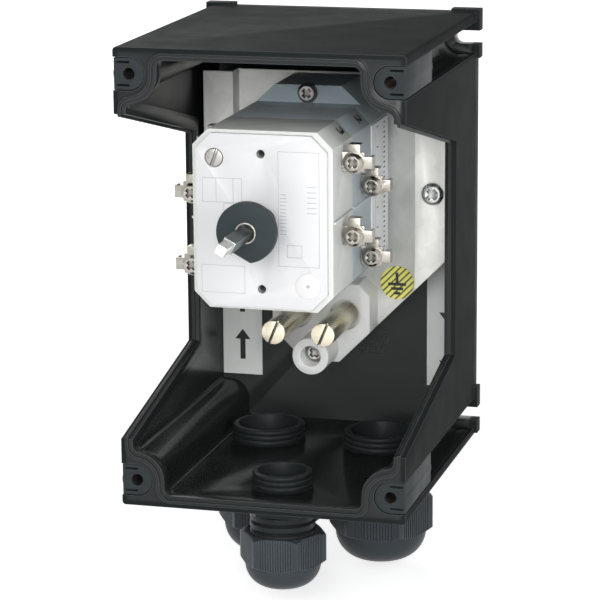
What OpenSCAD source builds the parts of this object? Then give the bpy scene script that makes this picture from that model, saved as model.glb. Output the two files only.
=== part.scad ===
// Opened base of a flameproof safety switch for stopping a drive in an emergency.
// A moulded case holds a rotary switch on a sheet-metal plate, an earth terminal
// block and three cable glands. The cover with its handle is off, so the square
// drive shaft stands free in front.
//
// Pieces are drawn with x = 0 in the middle, y = 0 at the front rim and z = 0 at
// the underside of the case. place() then moves each piece so that the origin is
// the middle of the back face, which lies on the wall.

/* [Case] */
// Outer width of the case
case_w = 120; // [116:1:132]
// Outer height of the case
case_h = 190; // [186:1:204]
// Outer depth of the case, from the front rim to the wall
case_d = 139; // [134:1:150]
// Thickness of the side walls, the top and the floor
wall = 3.2; // [2.6:0.1:3.8]
// Thickness of the back wall
back_wall = 3.5; // [2.6:0.1:5]
// Radius on the long outer edges
edge_r = 1.5; // [0.6:0.1:2.5]
// Width of the sealing rim, seen from the front
rim_w = 5; // [4.2:0.1:6]
// Depth of the thickened band behind the sealing rim
rim_d = 6; // [4:0.5:9]
// Width of the sealing tongue on the rim
tongue_w = 1.3; // [0.8:0.1:1.6]
// Height of the sealing tongue over the rim
tongue_h = 1.2; // [0.6:0.1:1.8]
// Width of the outer land between the edge and the tongue
land_w = 2; // [1.6:0.1:2.4]
// Radius that fills the corners of the rim beside the screw channels
corner_fill_r = 8; // [7:0.5:10]
// Wall of the screw channels behind the rim
channel_wall = 2; // [1.6:0.1:3]
// Radius that fills the corners beside the channels behind the rim
channel_fill_r = 2; // [1:0.5:3]

/* [Screw channels] */
// Height of the U-shaped channel in each corner
channel_h = 13.5; // [12:0.5:15]
// Distance from the channel's middle to the top or the underside
channel_edge = 10.8; // [10:0.1:12]
// Distance from the cover screw's axis to the side of the case
channel_in = 6.5; // [6:0.1:7.5]
// Length of the screw sleeve in each channel
sleeve_len = 47; // [30:1:60]
// Gap all round a screw sleeve
sleeve_gap = 0.3; // [0.2:0.05:0.4]
// Thread diameter of the cover screws
cover_thread_d = 5; // [4:0.5:6]
// Wall of the threaded bush in a screw sleeve
bush_wall = 0.9; // [0.6:0.1:1.2]
// Length of the threaded bush
bush_len = 18; // [10:1:25]
// How far the threaded bush lies behind the sleeve's face
bush_set_back = 1.2; // [0.5:0.1:3]
// Length of the two slots in a sleeve's face
sleeve_slot_len = 6.5; // [4:0.5:7]
// Width of the slots in a sleeve's face
sleeve_slot_w = 0.9; // [0.5:0.1:1.2]
// Depth of the slots in a sleeve's face
sleeve_slot_d = 6; // [2:1:20]

/* [Side windows] */
// Depth of the window in each side wall
window_d = 94; // [80:1:100]
// Height of the window's upper edge at the front
window_top_front = 163; // [158:1:165]
// Height of the window's upper edge at its back
window_top_back = 140.5; // [136:0.5:150]
// Height of the window's lower edge at the front
window_low_front = 28; // [26:1:34]
// Height of the window's lower edge at its back
window_low_back = 47; // [40:1:56]

/* [Wall lugs] */
// Thickness of the four wall lugs
lug_t = 6; // [4:0.5:8]
// How far the lugs stand out past the sides
lug_proud = 1.7; // [1:0.1:3]
// Reach of a lug inwards from the side of the case
lug_reach = 11; // [10:0.5:13]
// Reach of a lug above the middle of its notch
lug_up = 12.2; // [11:0.1:13]
// Reach of a lug below the middle of its notch
lug_down = 9; // [8:0.1:10]
// Width of the open notch for the wall screw
notch_w = 5.8; // [5.2:0.1:6.6]

/* [Mounting plate] */
// Thickness of the sheet metal
sheet_t = 1.5; // [1:0.1:2]
// Width of the plate over both flanges
plate_w = 107.4; // [104:0.2:108]
// Distance from the front rim to the face of the flanges
flange_y = 101; // [98:0.5:104]
// Step from the flanges back to the middle of the plate
plate_step = 9.5; // [8:0.5:12]
// Half the width of the middle of the plate
plate_mid_half = 40.3; // [38:0.1:42]
// Height of the plate's upper edge
plate_top = 165.8; // [163:0.1:166]
// Height at which the two slanted lower edges would meet
plate_vee = 32.8; // [30:0.1:36]
// Half the width of the blunt lower end
plate_tip_half = 4; // [3:0.5:6]
// Half the distance between the two plate screws
plate_screw_half = 48.3; // [46:0.1:49]
// Height of the plate screws
plate_screw_z = 116; // [100:1:130]
// Thread diameter of the plate screws
plate_screw_d = 4; // [3:0.5:5]
// Head diameter of the plate screws
plate_head_d = 9.6; // [8:0.1:10]
// Height of the plate screws' heads
plate_head_h = 2.6; // [2:0.1:3.5]
// Radius of the case's pillars behind the flanges
pillar_r = 5; // [4.5:0.1:6]

/* [Switch stack] */
// Height of the shaft's axis
axis_z = 121; // [118:0.5:124]
// Width of the switch stack
deck_w = 58; // [54:0.5:59]
// Height of the switch stack
deck_h = 73; // [70:0.5:76]
// Depth of one contact deck
deck_d = 31; // [29:0.5:33]
// Chamfer on the four corners of the stack
deck_chamfer = 6.5; // [5:0.5:8]
// Distance from the front rim to the front of the outer deck
deck_front = 5.5; // [5:0.1:7]
// Width of the front plate
face_w = 54.4; // [50:0.2:56]
// Height of the front plate
face_h = 70.6; // [66:0.2:72]
// Thickness of the front plate
face_t = 2.5; // [2:0.1:3.5]
// Radius of the rotor chamber in each deck
chamber_r = 20.5; // [20:0.1:22]
// Thickness of the floor in each deck
deck_floor = 3; // [2:0.5:4]
// Distance from the axis to each of the two through screws, across
through_half = 19.4; // [18:0.1:20.5]
// Distance from the axis to each of the two through screws, upwards
through_up = 25.3; // [24:0.1:27]
// Thread diameter of the through screws
through_d = 4; // [3:0.5:4.5]
// Head diameter of the through screws
through_head_d = 7.2; // [6:0.1:8]
// Distance from the axis to the two sight holes through the plate and the decks
sight_up = 27.5; // [26:0.5:29]
// Diameter of the two sight holes
sight_d = 3.4; // [2.5:0.1:4]
// How much narrower the base is behind the decks, on each side
base_step = 3; // [2:0.5:5]
// Half the width of the mounting tab at its upper end
tab_half = 14.5; // [12:0.5:17]
// Height of the mounting tab over the decks
tab_up = 7.5; // [6:0.5:8]
// How far the tab's face lies behind the front of the base
tab_set_back = 9; // [7:0.5:12]
// Distance from the upper edge of the decks to the tab's screw
tab_screw_up = 4.4; // [4.3:0.1:4.6]
// Diameter of the base's two mounting screws
mount_screw_d = 4; // [3:0.5:5]
// Head diameter of the mounting screws
mount_head_d = 8.4; // [7:0.1:8.6]
// Height of the mounting screws' heads
mount_head_h = 3; // [2:0.1:4]
// Height of the rib between the upper and the lower terminals
side_rib_h = 0.9; // [0.5:0.1:1.5]

/* [Shaft and rotors] */
// Width across the flats of the square shaft
shaft_sq = 5; // [4.5:0.1:5.2]
// Reach of the shaft in front of the rim
shaft_front = 53; // [45:1:60]
// Length of the narrowed tip
tip_len = 9; // [6:0.5:12]
// Angle of the shaft and its disc as shown
shaft_turn = 28.5; // [0:0.5:45]
// Radius of the coupling disc
disc_r = 12.1; // [11:0.1:13]
// Distance from the axis to the flat on the disc
disc_flat = 9.7; // [9:0.1:11]
// Thickness of the disc's front part
disc_t = 4; // [3:0.5:5]
// Distance from the disc's face to the front rim
disc_front = 19; // [17:0.5:22]
// Radius of the drum behind the disc
disc_drum_r = 10.6; // [9:0.1:10.8]
// Depth of the drum behind the disc
disc_drum_t = 4.5; // [3:0.5:6]
// Radius of the disc's hub, which turns in the front plate
hub_r = 6; // [5.5:0.1:7]
// Outer radius of the ring round the shaft
collar_r = 4.3; // [4.2:0.1:5]
// Thickness of the ring round the shaft
collar_t = 0.8; // [0.5:0.1:1.2]
// Radius of the rotor in each deck
rotor_r = 11; // [10:0.5:12]
// Half the length of a moving contact
blade_half = 18.5; // [17:0.5:19]
// Width of a moving contact
blade_w = 8; // [7.5:0.5:8.5]
// Running clearance round everything that turns or slides
run_gap = 0.06; // [0.04:0.01:0.08]

/* [Terminals] */
// Height of a terminal over or under the middle of its pair
terminal_far = 22.5; // [21:0.5:24]
// Height of the other terminal of each deck
terminal_near = 7.5; // [7:0.5:8.5]
// Distance from the axis to a terminal screw, across
terminal_half = 34; // [33.5:0.1:36]
// Distance from a deck's front to the face of its terminal screws
terminal_set = 11.5; // [10:0.5:13]
// Thickness of the contact strips
strip_t = 1.2; // [0.8:0.1:1.5]
// Width of the contact strips
strip_w = 8; // [7:0.5:9]
// Reach of a clamp plate's two tabs from its screw's axis
clamp_reach = 7.4; // [6.5:0.1:7.8]
// Width of a clamp plate's tabs
clamp_tab_w = 5; // [4:0.5:6]
// Thickness of a clamp plate
clamp_t = 1; // [0.8:0.1:1.3]
// Length of the bent ends of the tabs
clamp_wing = 4; // [2:0.5:4.5]
// Head diameter of a terminal screw
terminal_head_d = 8; // [7:0.1:9]
// Height of a terminal screw's head
terminal_head_h = 2.8; // [2:0.1:3.2]
// Thread diameter of a terminal screw
terminal_d = 4; // [3.5:0.5:4]
// Depth between the two planes of contacts in a deck
plane_step = 8; // [7:0.5:9]

/* [Earth terminals] */
// Half the width of the earth block
block_half = 21.8; // [20:0.1:23]
// Height of the upper edge of the earth block
block_top = 75.7; // [74:0.1:78]
// Chamfer on the upper corners of the earth block
block_chamfer = 5; // [4:0.5:6]
// Depth of the earth block in front of the plate
block_d = 15.5; // [12:0.5:18]
// Height of the boss and the lower mounting screw
boss_z = 47.3; // [46:0.1:49]
// Radius of the boss
boss_r = 8; // [7.5:0.1:9]
// Length of the boss in front of the earth block
boss_len = 18; // [15:0.5:20]
// Depth from the boss's face to its screw head
boss_sink = 6.5; // [5:0.5:9]
// Half the distance between the two earth posts
post_half = 10.8; // [10.6:0.1:12]
// Height of the earth posts
post_z = 62; // [61.6:0.1:63]
// Radius of an earth post
post_r = 5.1; // [4.5:0.1:5.2]
// Length of an earth post in front of the earth block
post_len = 38; // [30:1:42]
// Radius of an earth post's threaded stem
post_stem_r = 2.5; // [2:0.1:3]
// Depth of the recess round the foot of an earth post
post_recess = 3; // [2:0.5:5]

/* [Labels] */
// Width of the two strips on the back wall
strip_label_w = 18.3; // [15:0.5:18.5]
// Height of the strips' lower end
strip_label_low = 22; // [22:0.5:30]
// Length of the strips
strip_label_len = 66; // [50:1:68]
// Thickness of the strips and the other labels
label_t = 0.4; // [0.3:0.1:0.5]
// Radius of the round earth label
earth_label_r = 7.4; // [6:0.1:7.5]
// Place of the earth label across
earth_label_x = 30.4; // [29.8:0.1:31]
// Height of the earth label
earth_label_z = 74; // [73.5:0.1:78]

/* [Cable glands] */
// Thread diameter of the front gland
small_thread_d = 25; // [22:0.5:27]
// Thread diameter of the two back glands
big_thread_d = 32; // [30:0.5:33]
// Width across the flats of the front cap
small_cap_af = 32; // [31:0.5:34]
// Width across the flats of the back caps
big_cap_af = 40; // [39:0.5:42]
// Length of the front cap
small_cap_len = 24; // [22:0.5:27]
// Length of a back cap
big_cap_len = 30; // [28:0.5:33]
// Distance from the front rim to the front gland's axis
small_gland_y = 31; // [29:0.5:34]
// Distance from the front rim to the axes of the back glands
big_gland_y = 100; // [96:0.5:104]
// Half the distance between the two back glands
big_gland_half = 25.5; // [25:0.5:27]
// Reach of a gland's thread above the floor
thread_up = 7; // [5:0.5:11]
// Thickness of the gaskets under the floor
gasket_t = 1.5; // [1:0.1:2]
// How far the caps are screwed down from tight, as shown
cap_open = 7.5; // [6:0.5:9]
// Gap that is left over a tight cap
cap_tight_gap = 1.5; // [1:0.1:3]
// Thickness of the wall at a cap's lower end
cap_end = 4; // [3:0.5:5]
// Length of the clamping ring in a cap
clamp_ring_len = 6; // [5:0.5:7]
// Length of the rubber seal in a gland
seal_len = 9; // [7:0.5:11]
// Depth of the fine ribs on the caps
cap_rib_h = 0.45; // [0.3:0.05:0.6]
// Number of fine ribs on each face of a cap
cap_ribs = 13; // [7:2:15]
// Turn of the caps about their axes
cap_turn = 4; // [0:1:10]

/* [Hidden] */
$fn = 48;
// Overrun of every cut past the face it opens
over = 1;
// Sunk depth by which fused parts of one piece reach into each other
weld = 0.5;

channel_r = channel_h / 2;
channel_x = case_w / 2 - channel_in;
inner_back = case_d - back_wall;
mid_y = flange_y + plate_step;
base_front = deck_front + 2 * deck_d;
face_front = deck_front - face_t;
block_front = mid_y - block_d;
// Gap between pieces that are fitted together and turn or stay as one
fit_gap = 0.03;
// Free length at both ends of a rotor
rotor_end_gap = 1;
// Radius and depth of the chamber for the stop cam, and the cam's size
cam_space_r = 17;
cam_space_d = 9;
cam_t = 6;
cam_reach = 15;
// Radius and length of the shaft's rear journal
journal_r = 2.4;
journal_len = 12;
// Depth of the through screws in the base
through_bite = 10;
// Thickness of the front plate under the heads of the through screws
face_floor = 1;
// Width of the slots in the slotted screws
screw_slot_w = 1;
// Radius and thickness of the push-in plug's head
plug_r = 5.2;
plug_t = 0.6;
// Radius of a clamp plate round its screw
clamp_r = terminal_half - deck_w / 2 - sleeve_gap;
tab_y = base_front + tab_set_back;
tab_screw_z = axis_z + deck_h / 2 + tab_screw_up;
boss_front = block_front - boss_len;

// Shares of a screw head's diameter: the flat top of its dome, the reach of its
// cross recess from the middle and half the width of the recess
dome_top_share = 0.36;
recess_share = 0.27;
recess_arm_share = 0.1;
// Share of a screw head's height that its dome takes
dome_share = 0.45;
// Share of a contact strip's width that the radius of its threaded boss has
boss_share = 0.42;
// Share of the shaft's width that its narrowed tip has
tip_share = 0.78;

// Shares of a gland's thread diameter
barrel_share = 0.55;
ring_share = 0.45;
bore_share = 0.41;
seat_share = 0.44;
cable_share = 0.28;
flange_share = 0.22;
mouth_share = 0.37;
// Share of a cap's length that is hexagonal
cap_hex_share = 0.57;
// Share of a cap's width across the flats that its body hexagon has
body_af_share = 0.92;
// Number of visible thread ridges on a gland's barrel and on its inner end
barrel_ridges = 4;
inner_ridges = 3;
// Share of the ridges' pitch that a ridge takes, and its height as a share of it
ridge_share = 0.55;
// Share of a cap's face that the fine ribs cover
rib_band_share = 0.78;

// Moves a finished piece so that the origin is the middle of the back face.
module place() {
  translate([0, -case_d, -case_h / 2]) children();
}

// Extrudes an outline drawn in x and z backwards from y0.
module along_y(y0, len) {
  translate([0, y0 + len, 0]) rotate([90, 0, 0]) linear_extrude(len) children();
}

// Extrudes an outline drawn in y and z to the right from x0.
module along_x(x0, len) {
  translate([x0, 0, 0]) rotate([90, 0, 90]) linear_extrude(len) children();
}

// A round bar that runs backwards from y0.
module bar_y(r, y0, len) {
  translate([0, y0, 0]) rotate([-90, 0, 0]) cylinder(r = r, h = len);
}

// A cone that runs backwards from y0.
module cone_y(r1, r2, y0, len) {
  translate([0, y0, 0]) rotate([-90, 0, 0]) cylinder(r1 = r1, r2 = r2, h = len);
}

// A rectangle with round corners about the origin.
module rounded_rect(w, h, r) {
  square([w - 2 * r, h], center = true);
  square([w, h - 2 * r], center = true);
  for (sx = [-1, 1], sz = [-1, 1])
    translate([sx * (w / 2 - r), sz * (h / 2 - r)]) circle(r);
}

// A rectangle with chamfered corners about the origin.
module chamfered_rect(w, h, c) {
  polygon([
    [-w / 2, c - h / 2], [c - w / 2, -h / 2], [w / 2 - c, -h / 2], [w / 2, c - h / 2],
    [w / 2, h / 2 - c], [w / 2 - c, h / 2], [c - w / 2, h / 2], [-w / 2, h / 2 - c]
  ]);
}

// Draws its children at the four screw channels, outwards and upwards as +x and +z.
module each_corner() {
  for (sx = [0, 1], sz = [0, 1])
    translate([0, case_h / 2]) mirror([sx, 0]) mirror([0, sz])
      translate([channel_x, case_h / 2 - channel_edge]) children();
}

// The U-shaped outline of a screw channel, open to the side of the case.
module channel_outline(r, reach) {
  circle(r);
  translate([0, -r]) square([reach, 2 * r]);
}

// What a screw channel takes from the hollow of the case, with its round fills.
module channel_rib(t, rib_t, fill) {
  r = channel_r + rib_t;
  side = channel_in - t;
  up = channel_edge - t;
  circle(r);
  translate([0, -r]) square([channel_in + over, 2 * r]);
  translate([-r, 0]) square([r + channel_in + over, channel_edge + over]);
  difference() {
    translate([side - fill, -r - fill]) square([fill + over, fill + over]);
    translate([side - fill, -r - fill]) circle(fill);
  }
  difference() {
    translate([-r - fill, up - fill]) square([fill + over, fill + over]);
    translate([-r - fill, up - fill]) circle(fill);
  }
}

// The hollow of the case, seen from the front, at a distance t from its outside
// and from the screw channels, or rib_t from the channels.
module hollow_outline(t, rib_t, fill) {
  difference() {
    translate([0, case_h / 2]) square([case_w - 2 * t, case_h - 2 * t], center = true);
    each_corner() channel_rib(t, rib_t, fill);
  }
}

// The hollow at the sealing rim, at a distance t from the outside and the channels.
module rim_outline(t) {
  hollow_outline(t, t, corner_fill_r - t);
}

// Height of a slanted window edge at the depth y, moved outwards by m.
function window_edge(front, back, y, m) =
  let (slope = (back - front) / window_d)
  front + slope * y + sign(front - case_h / 2) * m * sqrt(1 + slope * slope);

// The window in a side wall in y and z, grown by m, from the depth y0 backwards.
module window_outline(m, y0) {
  y1 = window_d + m;
  polygon([
    [y0, window_edge(window_low_front, window_low_back, y0, m)],
    [y1, window_edge(window_low_front, window_low_back, y1, m)],
    [y1, window_edge(window_top_front, window_top_back, y1, m)],
    [y0, window_edge(window_top_front, window_top_back, y0, m)]
  ]);
}

// Draws its children at both sides of the case.
module both_sides() {
  for (s = [0, 1]) mirror([s, 0, 0]) children();
}

// The sealing tongue on the front rim and along the edges of the windows.
module sealing_tongue() {
  difference() {
    along_y(-tongue_h, tongue_h + weld)
      difference() {
        rim_outline(land_w);
        rim_outline(land_w + tongue_w);
      }
    both_sides() along_x(case_w / 2 - rim_w - over, rim_w + 2 * over) window_outline(0, -over - tongue_h);
  }
  both_sides() along_x(case_w / 2 - land_w - tongue_w, tongue_w)
    difference() {
      window_outline(weld, -tongue_h);
      window_outline(-tongue_h, -tongue_h - over);
      translate([-tongue_h - over, 0]) square([over, case_h]);
    }
}

// The two pillars that carry the flanges of the mounting plate.
module plate_pillars() {
  y0 = flange_y + sheet_t;
  both_sides() {
    translate([plate_screw_half, 0, plate_screw_z]) bar_y(pillar_r, y0, inner_back - y0 + weld);
    translate([plate_screw_half, y0, plate_screw_z - sheet_t])
      cube([case_w / 2 - plate_screw_half - wall + weld, inner_back - y0 + weld, 2 * sheet_t]);
  }
}

// The four lugs for the wall screws.
module wall_lugs() {
  for (z = [channel_edge, case_h - channel_edge])
    both_sides() translate([case_w / 2 - lug_reach, case_d - lug_t, z - lug_down])
      cube([lug_reach + lug_proud, lug_t, lug_down + lug_up]);
}

// Draws its children at the three gland axes: index 0 is the front one.
module at_gland(i) {
  x = i == 0 ? 0 : (i == 1 ? -big_gland_half : big_gland_half);
  y = i == 0 ? small_gland_y : big_gland_y;
  translate([x, y, 0]) children();
}

function thread_d(i) = i == 0 ? small_thread_d : big_thread_d;
function cap_af(i) = i == 0 ? small_cap_af : big_cap_af;
function cap_len(i) = i == 0 ? small_cap_len : big_cap_len;

module case() {
  color("#26282b") place() {
    difference() {
      union() {
        along_y(0, case_d) translate([0, case_h / 2]) rounded_rect(case_w, case_h, edge_r);
        wall_lugs();
      }
      along_y(rim_d, inner_back - rim_d) hollow_outline(wall, channel_wall, channel_fill_r);
      along_y(-over, rim_d + 2 * over) rim_outline(rim_w);
      both_sides() along_x(case_w / 2 - rim_w - over, rim_w + 2 * over) window_outline(0, -over);
      along_y(-over, case_d - lug_t + over) each_corner() channel_outline(channel_r, channel_in + lug_proud + over);
      along_y(case_d - lug_t - over, lug_t + 2 * over)
        each_corner() channel_outline(notch_w / 2, channel_in + lug_proud + over);
      for (i = [0:2])
        at_gland(i) translate([0, 0, -over]) cylinder(r = thread_d(i) / 2 + run_gap, h = wall + 2 * over);
    }
    both_sides() along_x(case_w / 2 - rim_w, rim_w - weld)
      intersection() {
        difference() {
          window_outline(rim_d, 0);
          window_outline(0, -over);
        }
        translate([0, wall]) square([case_d, case_h - 2 * wall]);
      }
    sealing_tongue();
    difference() {
      plate_pillars();
      both_sides() translate([plate_screw_half, 0, plate_screw_z])
        bar_y(plate_screw_d / 2, flange_y, 5 * plate_screw_d);
    }
  }
}

module screw_sleeves() {
  face = sleeve_gap;
  r = channel_r - sleeve_gap;
  color("#2e3134") place() difference() {
    along_y(face, sleeve_len) each_corner() channel_outline(r, channel_in - sleeve_gap);
    along_y(-over, sleeve_len + 2 * over) each_corner() circle(cover_thread_d / 2);
    along_y(face + bush_set_back, bush_len) each_corner() circle(cover_thread_d / 2 + bush_wall);
    along_y(-over, sleeve_slot_d + over + face) each_corner() for (s = [-1, 1])
      translate([channel_in - sleeve_gap - sleeve_slot_len, s * (r - 2 * sleeve_slot_w) - sleeve_slot_w / 2])
        square([sleeve_slot_len - sleeve_slot_w, sleeve_slot_w]);
  }
}

module sleeve_bushes() {
  color("#b9bcbd") place() along_y(sleeve_gap + bush_set_back, bush_len) each_corner()
    difference() {
      circle(cover_thread_d / 2 + bush_wall);
      circle(cover_thread_d / 2);
    }
}

// The plate's bent section, seen from above.
module plate_section() {
  a = plate_w / 2;
  b = plate_mid_half;
  t = sheet_t;
  y0 = flange_y;
  y1 = mid_y;
  polygon([
    [-a, y0], [-b, y0], [-b, y1], [b, y1], [b, y0], [a, y0],
    [a, y0 + t], [b + t, y0 + t], [b + t, y1 + t], [-b - t, y1 + t], [-b - t, y0 + t], [-a, y0 + t]
  ]);
}

// The plate's outline, seen from the front.
module plate_outline() {
  a = plate_w / 2;
  tip = plate_tip_half;
  polygon([
    [-a, plate_top], [-a, plate_vee + a], [-tip, plate_vee + tip],
    [tip, plate_vee + tip], [a, plate_vee + a], [a, plate_top]
  ]);
}

module mounting_plate() {
  color("#c3c5c0") place() difference() {
    intersection() {
      linear_extrude(plate_top + over) plate_section();
      along_y(flange_y - over, plate_step + sheet_t + 2 * over) plate_outline();
    }
    both_sides() translate([plate_screw_half, 0, plate_screw_z])
      bar_y(plate_screw_d / 2 + sleeve_gap, flange_y - over, sheet_t + 2 * over);
    for (z = [boss_z, tab_screw_z])
      translate([0, 0, z]) bar_y(mount_screw_d / 2, mid_y - over, sheet_t + 2 * over);
    both_sides() translate([post_half, 0, post_z])
      bar_y(post_stem_r, mid_y - over, sheet_t + 2 * over);
  }
}

// A screw with a domed head and a cross recess, its head's face at y = 0.
module cross_screw(head_d, head_h, d, len) {
  reach = head_d * recess_share;
  arm = head_d * recess_arm_share;
  dome = head_h * dome_share;
  difference() {
    union() {
      cone_y(head_d * dome_top_share, head_d / 2, 0, dome);
      bar_y(head_d / 2, dome, head_h - dome);
      bar_y(d / 2, dome, head_h - dome + len);
    }
    for (a = [45, 135])
      rotate([0, a, 0]) translate([-reach, -over, -arm]) cube([2 * reach, over + head_h / 2, 2 * arm]);
  }
}

module plate_screws() {
  color("#cfd0cc") place() both_sides()
    translate([plate_screw_half, flange_y - plate_head_h, plate_screw_z])
      cross_screw(plate_head_d, plate_head_h, plate_screw_d, 4 * plate_screw_d);
}

// Cuts the two holes for the through screws, with a gap g round them.
module through_holes(y0, len, g) {
  for (s = [-1, 1])
    translate([s * through_half, 0, axis_z - s * through_up]) bar_y(through_d / 2 + g, y0, len);
}

// Cuts the two sight holes over and under the shaft.
module sight_holes(y0, len) {
  for (s = [-1, 1])
    translate([0, 0, axis_z + s * sight_up]) bar_y(sight_d / 2, y0, len);
}

// The four terminals of a deck as [side, height over the axis, plane of contact].
// The inner deck has the outer one's heights mirrored, so that wires pass by.
function terminals(flip) = [
  for (side = [1, -1], plane = [0, 1])
    [side, (flip ? -1 : 1) * side * (plane == 0 ? terminal_far : -terminal_near), plane]
];

module contact_deck(y0, flip) {
  difference() {
    along_y(y0, deck_d) translate([0, axis_z]) chamfered_rect(deck_w, deck_h, deck_chamfer);
    translate([0, 0, axis_z]) bar_y(chamber_r, y0 - over, deck_d - deck_floor + over);
    translate([0, 0, axis_z]) bar_y(hub_r + over, y0, deck_d + over);
    sight_holes(y0 - over, deck_d + 2 * over);
    through_holes(y0 - over, deck_d + 2 * over, run_gap);
    for (t = terminals(flip))
      contact_strip(y0, t, run_gap);
  }
  both_sides() translate([deck_w / 2 - weld, y0 + over, axis_z - side_rib_h / 2])
    cube([side_rib_h + weld, deck_d - 2 * over, side_rib_h]);
}

// Depth at which the contact strips of a deck leave its sides.
function strip_y(y0) = y0 + terminal_set + terminal_head_h + clamp_t;

// A strip from a terminal to its contact beside the rotor, grown by g on all sides.
// Those of the second plane step back inside the deck's wall.
module contact_strip(y0, t, g) {
  s = t[0];
  h = t[1];
  y1 = strip_y(y0) - g;
  y2 = y1 + t[2] * plane_step;
  thick = strip_t + 2 * g;
  half = strip_w / 2 + g;
  inner = rotor_r + weld - g;
  outer = terminal_half + strip_w / 2 - 2 * g;
  step = (chamber_r + deck_w / 2) / 2;
  mirror([s > 0 ? 0 : 1, 0, 0]) translate([0, 0, axis_z]) {
    if (t[2] == 0) {
      along_y(y1, thick) {
        translate([inner - half, h - half]) square([outer - inner + half, 2 * half]);
        mirror([0, h > 0 ? 0 : 1]) translate([inner - half, inner - half / 2])
          square([2 * half, abs(h) - inner + half]);
      }
    } else {
      along_y(y1, thick) translate([step - thick, h - half]) square([outer - step + thick, 2 * half]);
      along_y(y1, plane_step + thick) translate([step - thick, h - half]) square([thick, 2 * half]);
      along_y(y2, thick) translate([inner, h - half]) square([step - inner, 2 * half]);
    }
  }
}

// Draws its children with the origin at each terminal screw's axis.
module at_terminals(flip) {
  for (t = terminals(flip))
    translate([t[0] * terminal_half, 0, axis_z + t[1]]) mirror([t[0] > 0 ? 0 : 1, 0, 0]) children();
}

module contact_strips(y0, flip) {
  difference() {
    union() {
      for (t = terminals(flip)) contact_strip(y0, t, 0);
      at_terminals(flip) bar_y(strip_w * boss_share, strip_y(y0) + strip_t / 2, 3 * strip_t);
    }
    at_terminals(flip) bar_y(terminal_d / 2, y0, deck_d);
    through_holes(y0, deck_d, over);
  }
}

// Clamp plates with one tab outwards and one upwards, both with bent ends.
module clamp_plates(y0, flip) {
  y1 = y0 + terminal_set + terminal_head_h;
  half = clamp_tab_w / 2;
  at_terminals(flip) difference() {
    union() {
      along_y(y1, clamp_t) {
        circle(clamp_r);
        translate([0, -half]) square([clamp_reach, clamp_tab_w]);
        translate([-half, 0]) square([clamp_tab_w, clamp_reach]);
      }
      translate([clamp_reach - clamp_t, y1, -half]) cube([clamp_t, clamp_t + clamp_wing, clamp_tab_w]);
      translate([-half, y1, clamp_reach - clamp_t]) cube([clamp_tab_w, clamp_t + clamp_wing, clamp_t]);
    }
    bar_y(terminal_d / 2 + run_gap, y1 - over, clamp_t + 2 * over);
  }
}

module terminal_screws(y0, flip) {
  at_terminals(flip) translate([0, y0 + terminal_set, 0])
    cross_screw(terminal_head_d, terminal_head_h, terminal_d, 3 * terminal_d);
}

module inner_deck() {
  color("#9aa3a8") place() contact_deck(deck_front + deck_d, true);
}

module outer_deck() {
  color("#c9ccc8") place() contact_deck(deck_front, false);
}

module inner_contact_strips() {
  color("#c8a45a") place() contact_strips(deck_front + deck_d, true);
}

module outer_contact_strips() {
  color("#c8a45a") place() contact_strips(deck_front, false);
}

module inner_clamp_plates() {
  color("#c9c6bb") place() clamp_plates(deck_front + deck_d, true);
}

module outer_clamp_plates() {
  color("#c9c6bb") place() clamp_plates(deck_front, false);
}

module inner_terminal_screws() {
  color("#cfcabb") place() terminal_screws(deck_front + deck_d, true);
}

module outer_terminal_screws() {
  color("#cfcabb") place() terminal_screws(deck_front, false);
}

// The base carries the stack on the plate and holds the shaft's rear bearing.
module switch_base() {
  back = mid_y - base_front;
  color("#8d979d") place() difference() {
    union() {
      along_y(base_front, deck_d) translate([0, axis_z]) chamfered_rect(deck_w, deck_h, deck_chamfer);
      along_y(base_front + deck_d - weld, back - deck_d + weld)
        translate([0, axis_z]) chamfered_rect(deck_w - 2 * base_step, deck_h - 2 * base_step, deck_chamfer);
      along_y(tab_y, mid_y - tab_y) mounting_tab_outline();
    }
    translate([0, 0, axis_z]) bar_y(cam_space_r, base_front - over, cam_space_d + over);
    translate([0, 0, axis_z]) bar_y(journal_r + run_gap, base_front, cam_space_d + journal_len + weld);
    through_holes(base_front - over, through_bite + over, run_gap);
    translate([0, 0, tab_screw_z]) bar_y(mount_screw_d / 2 + run_gap, tab_y - over, mid_y - tab_y + 2 * over);
  }
}

// The tab that stands over the stack, seen from the front.
module mounting_tab_outline() {
  z0 = axis_z + deck_h / 2 - base_step - weld;
  z1 = axis_z + deck_h / 2;
  wide = deck_w / 2 - deck_chamfer;
  polygon([[-wide, z0], [wide, z0], [wide, z1], [tab_half, z1 + tab_up], [-tab_half, z1 + tab_up], [-wide, z1]]);
}

module front_plate() {
  color("#f1f1ee") place() difference() {
    along_y(face_front, face_t) translate([0, axis_z]) chamfered_rect(face_w, face_h, deck_chamfer);
    translate([0, 0, axis_z]) bar_y(hub_r + run_gap, face_front - over, face_t + 2 * over);
    sight_holes(face_front - over, face_t + 2 * over);
    through_holes(face_front - over, face_t + 2 * over, run_gap);
    for (s = [-1, 1])
      translate([s * through_half, 0, axis_z - s * through_up])
        bar_y(through_head_d / 2 + sleeve_gap, face_front - over, face_t - face_floor + over);
  }
}

// The two long screws that hold the front plate and the decks on the base.
module through_screws() {
  face = face_front + sleeve_gap;
  head = face_t - face_floor - sleeve_gap;
  color("#d8d2c0") place() for (s = [-1, 1])
    translate([s * through_half, 0, axis_z - s * through_up]) difference() {
      union() {
        bar_y(through_head_d / 2, face + (s > 0 ? head / 2 : 0), s > 0 ? head / 2 : head);
        bar_y(through_d / 2, face + head / 2, base_front + through_bite - face - head / 2 - weld);
      }
      if (s < 0) rotate([0, 20, 0])
        translate([-screw_slot_w / 2, face - over, -through_head_d])
          cube([screw_slot_w, over + head / 2, 2 * through_head_d]);
    }
}

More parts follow.
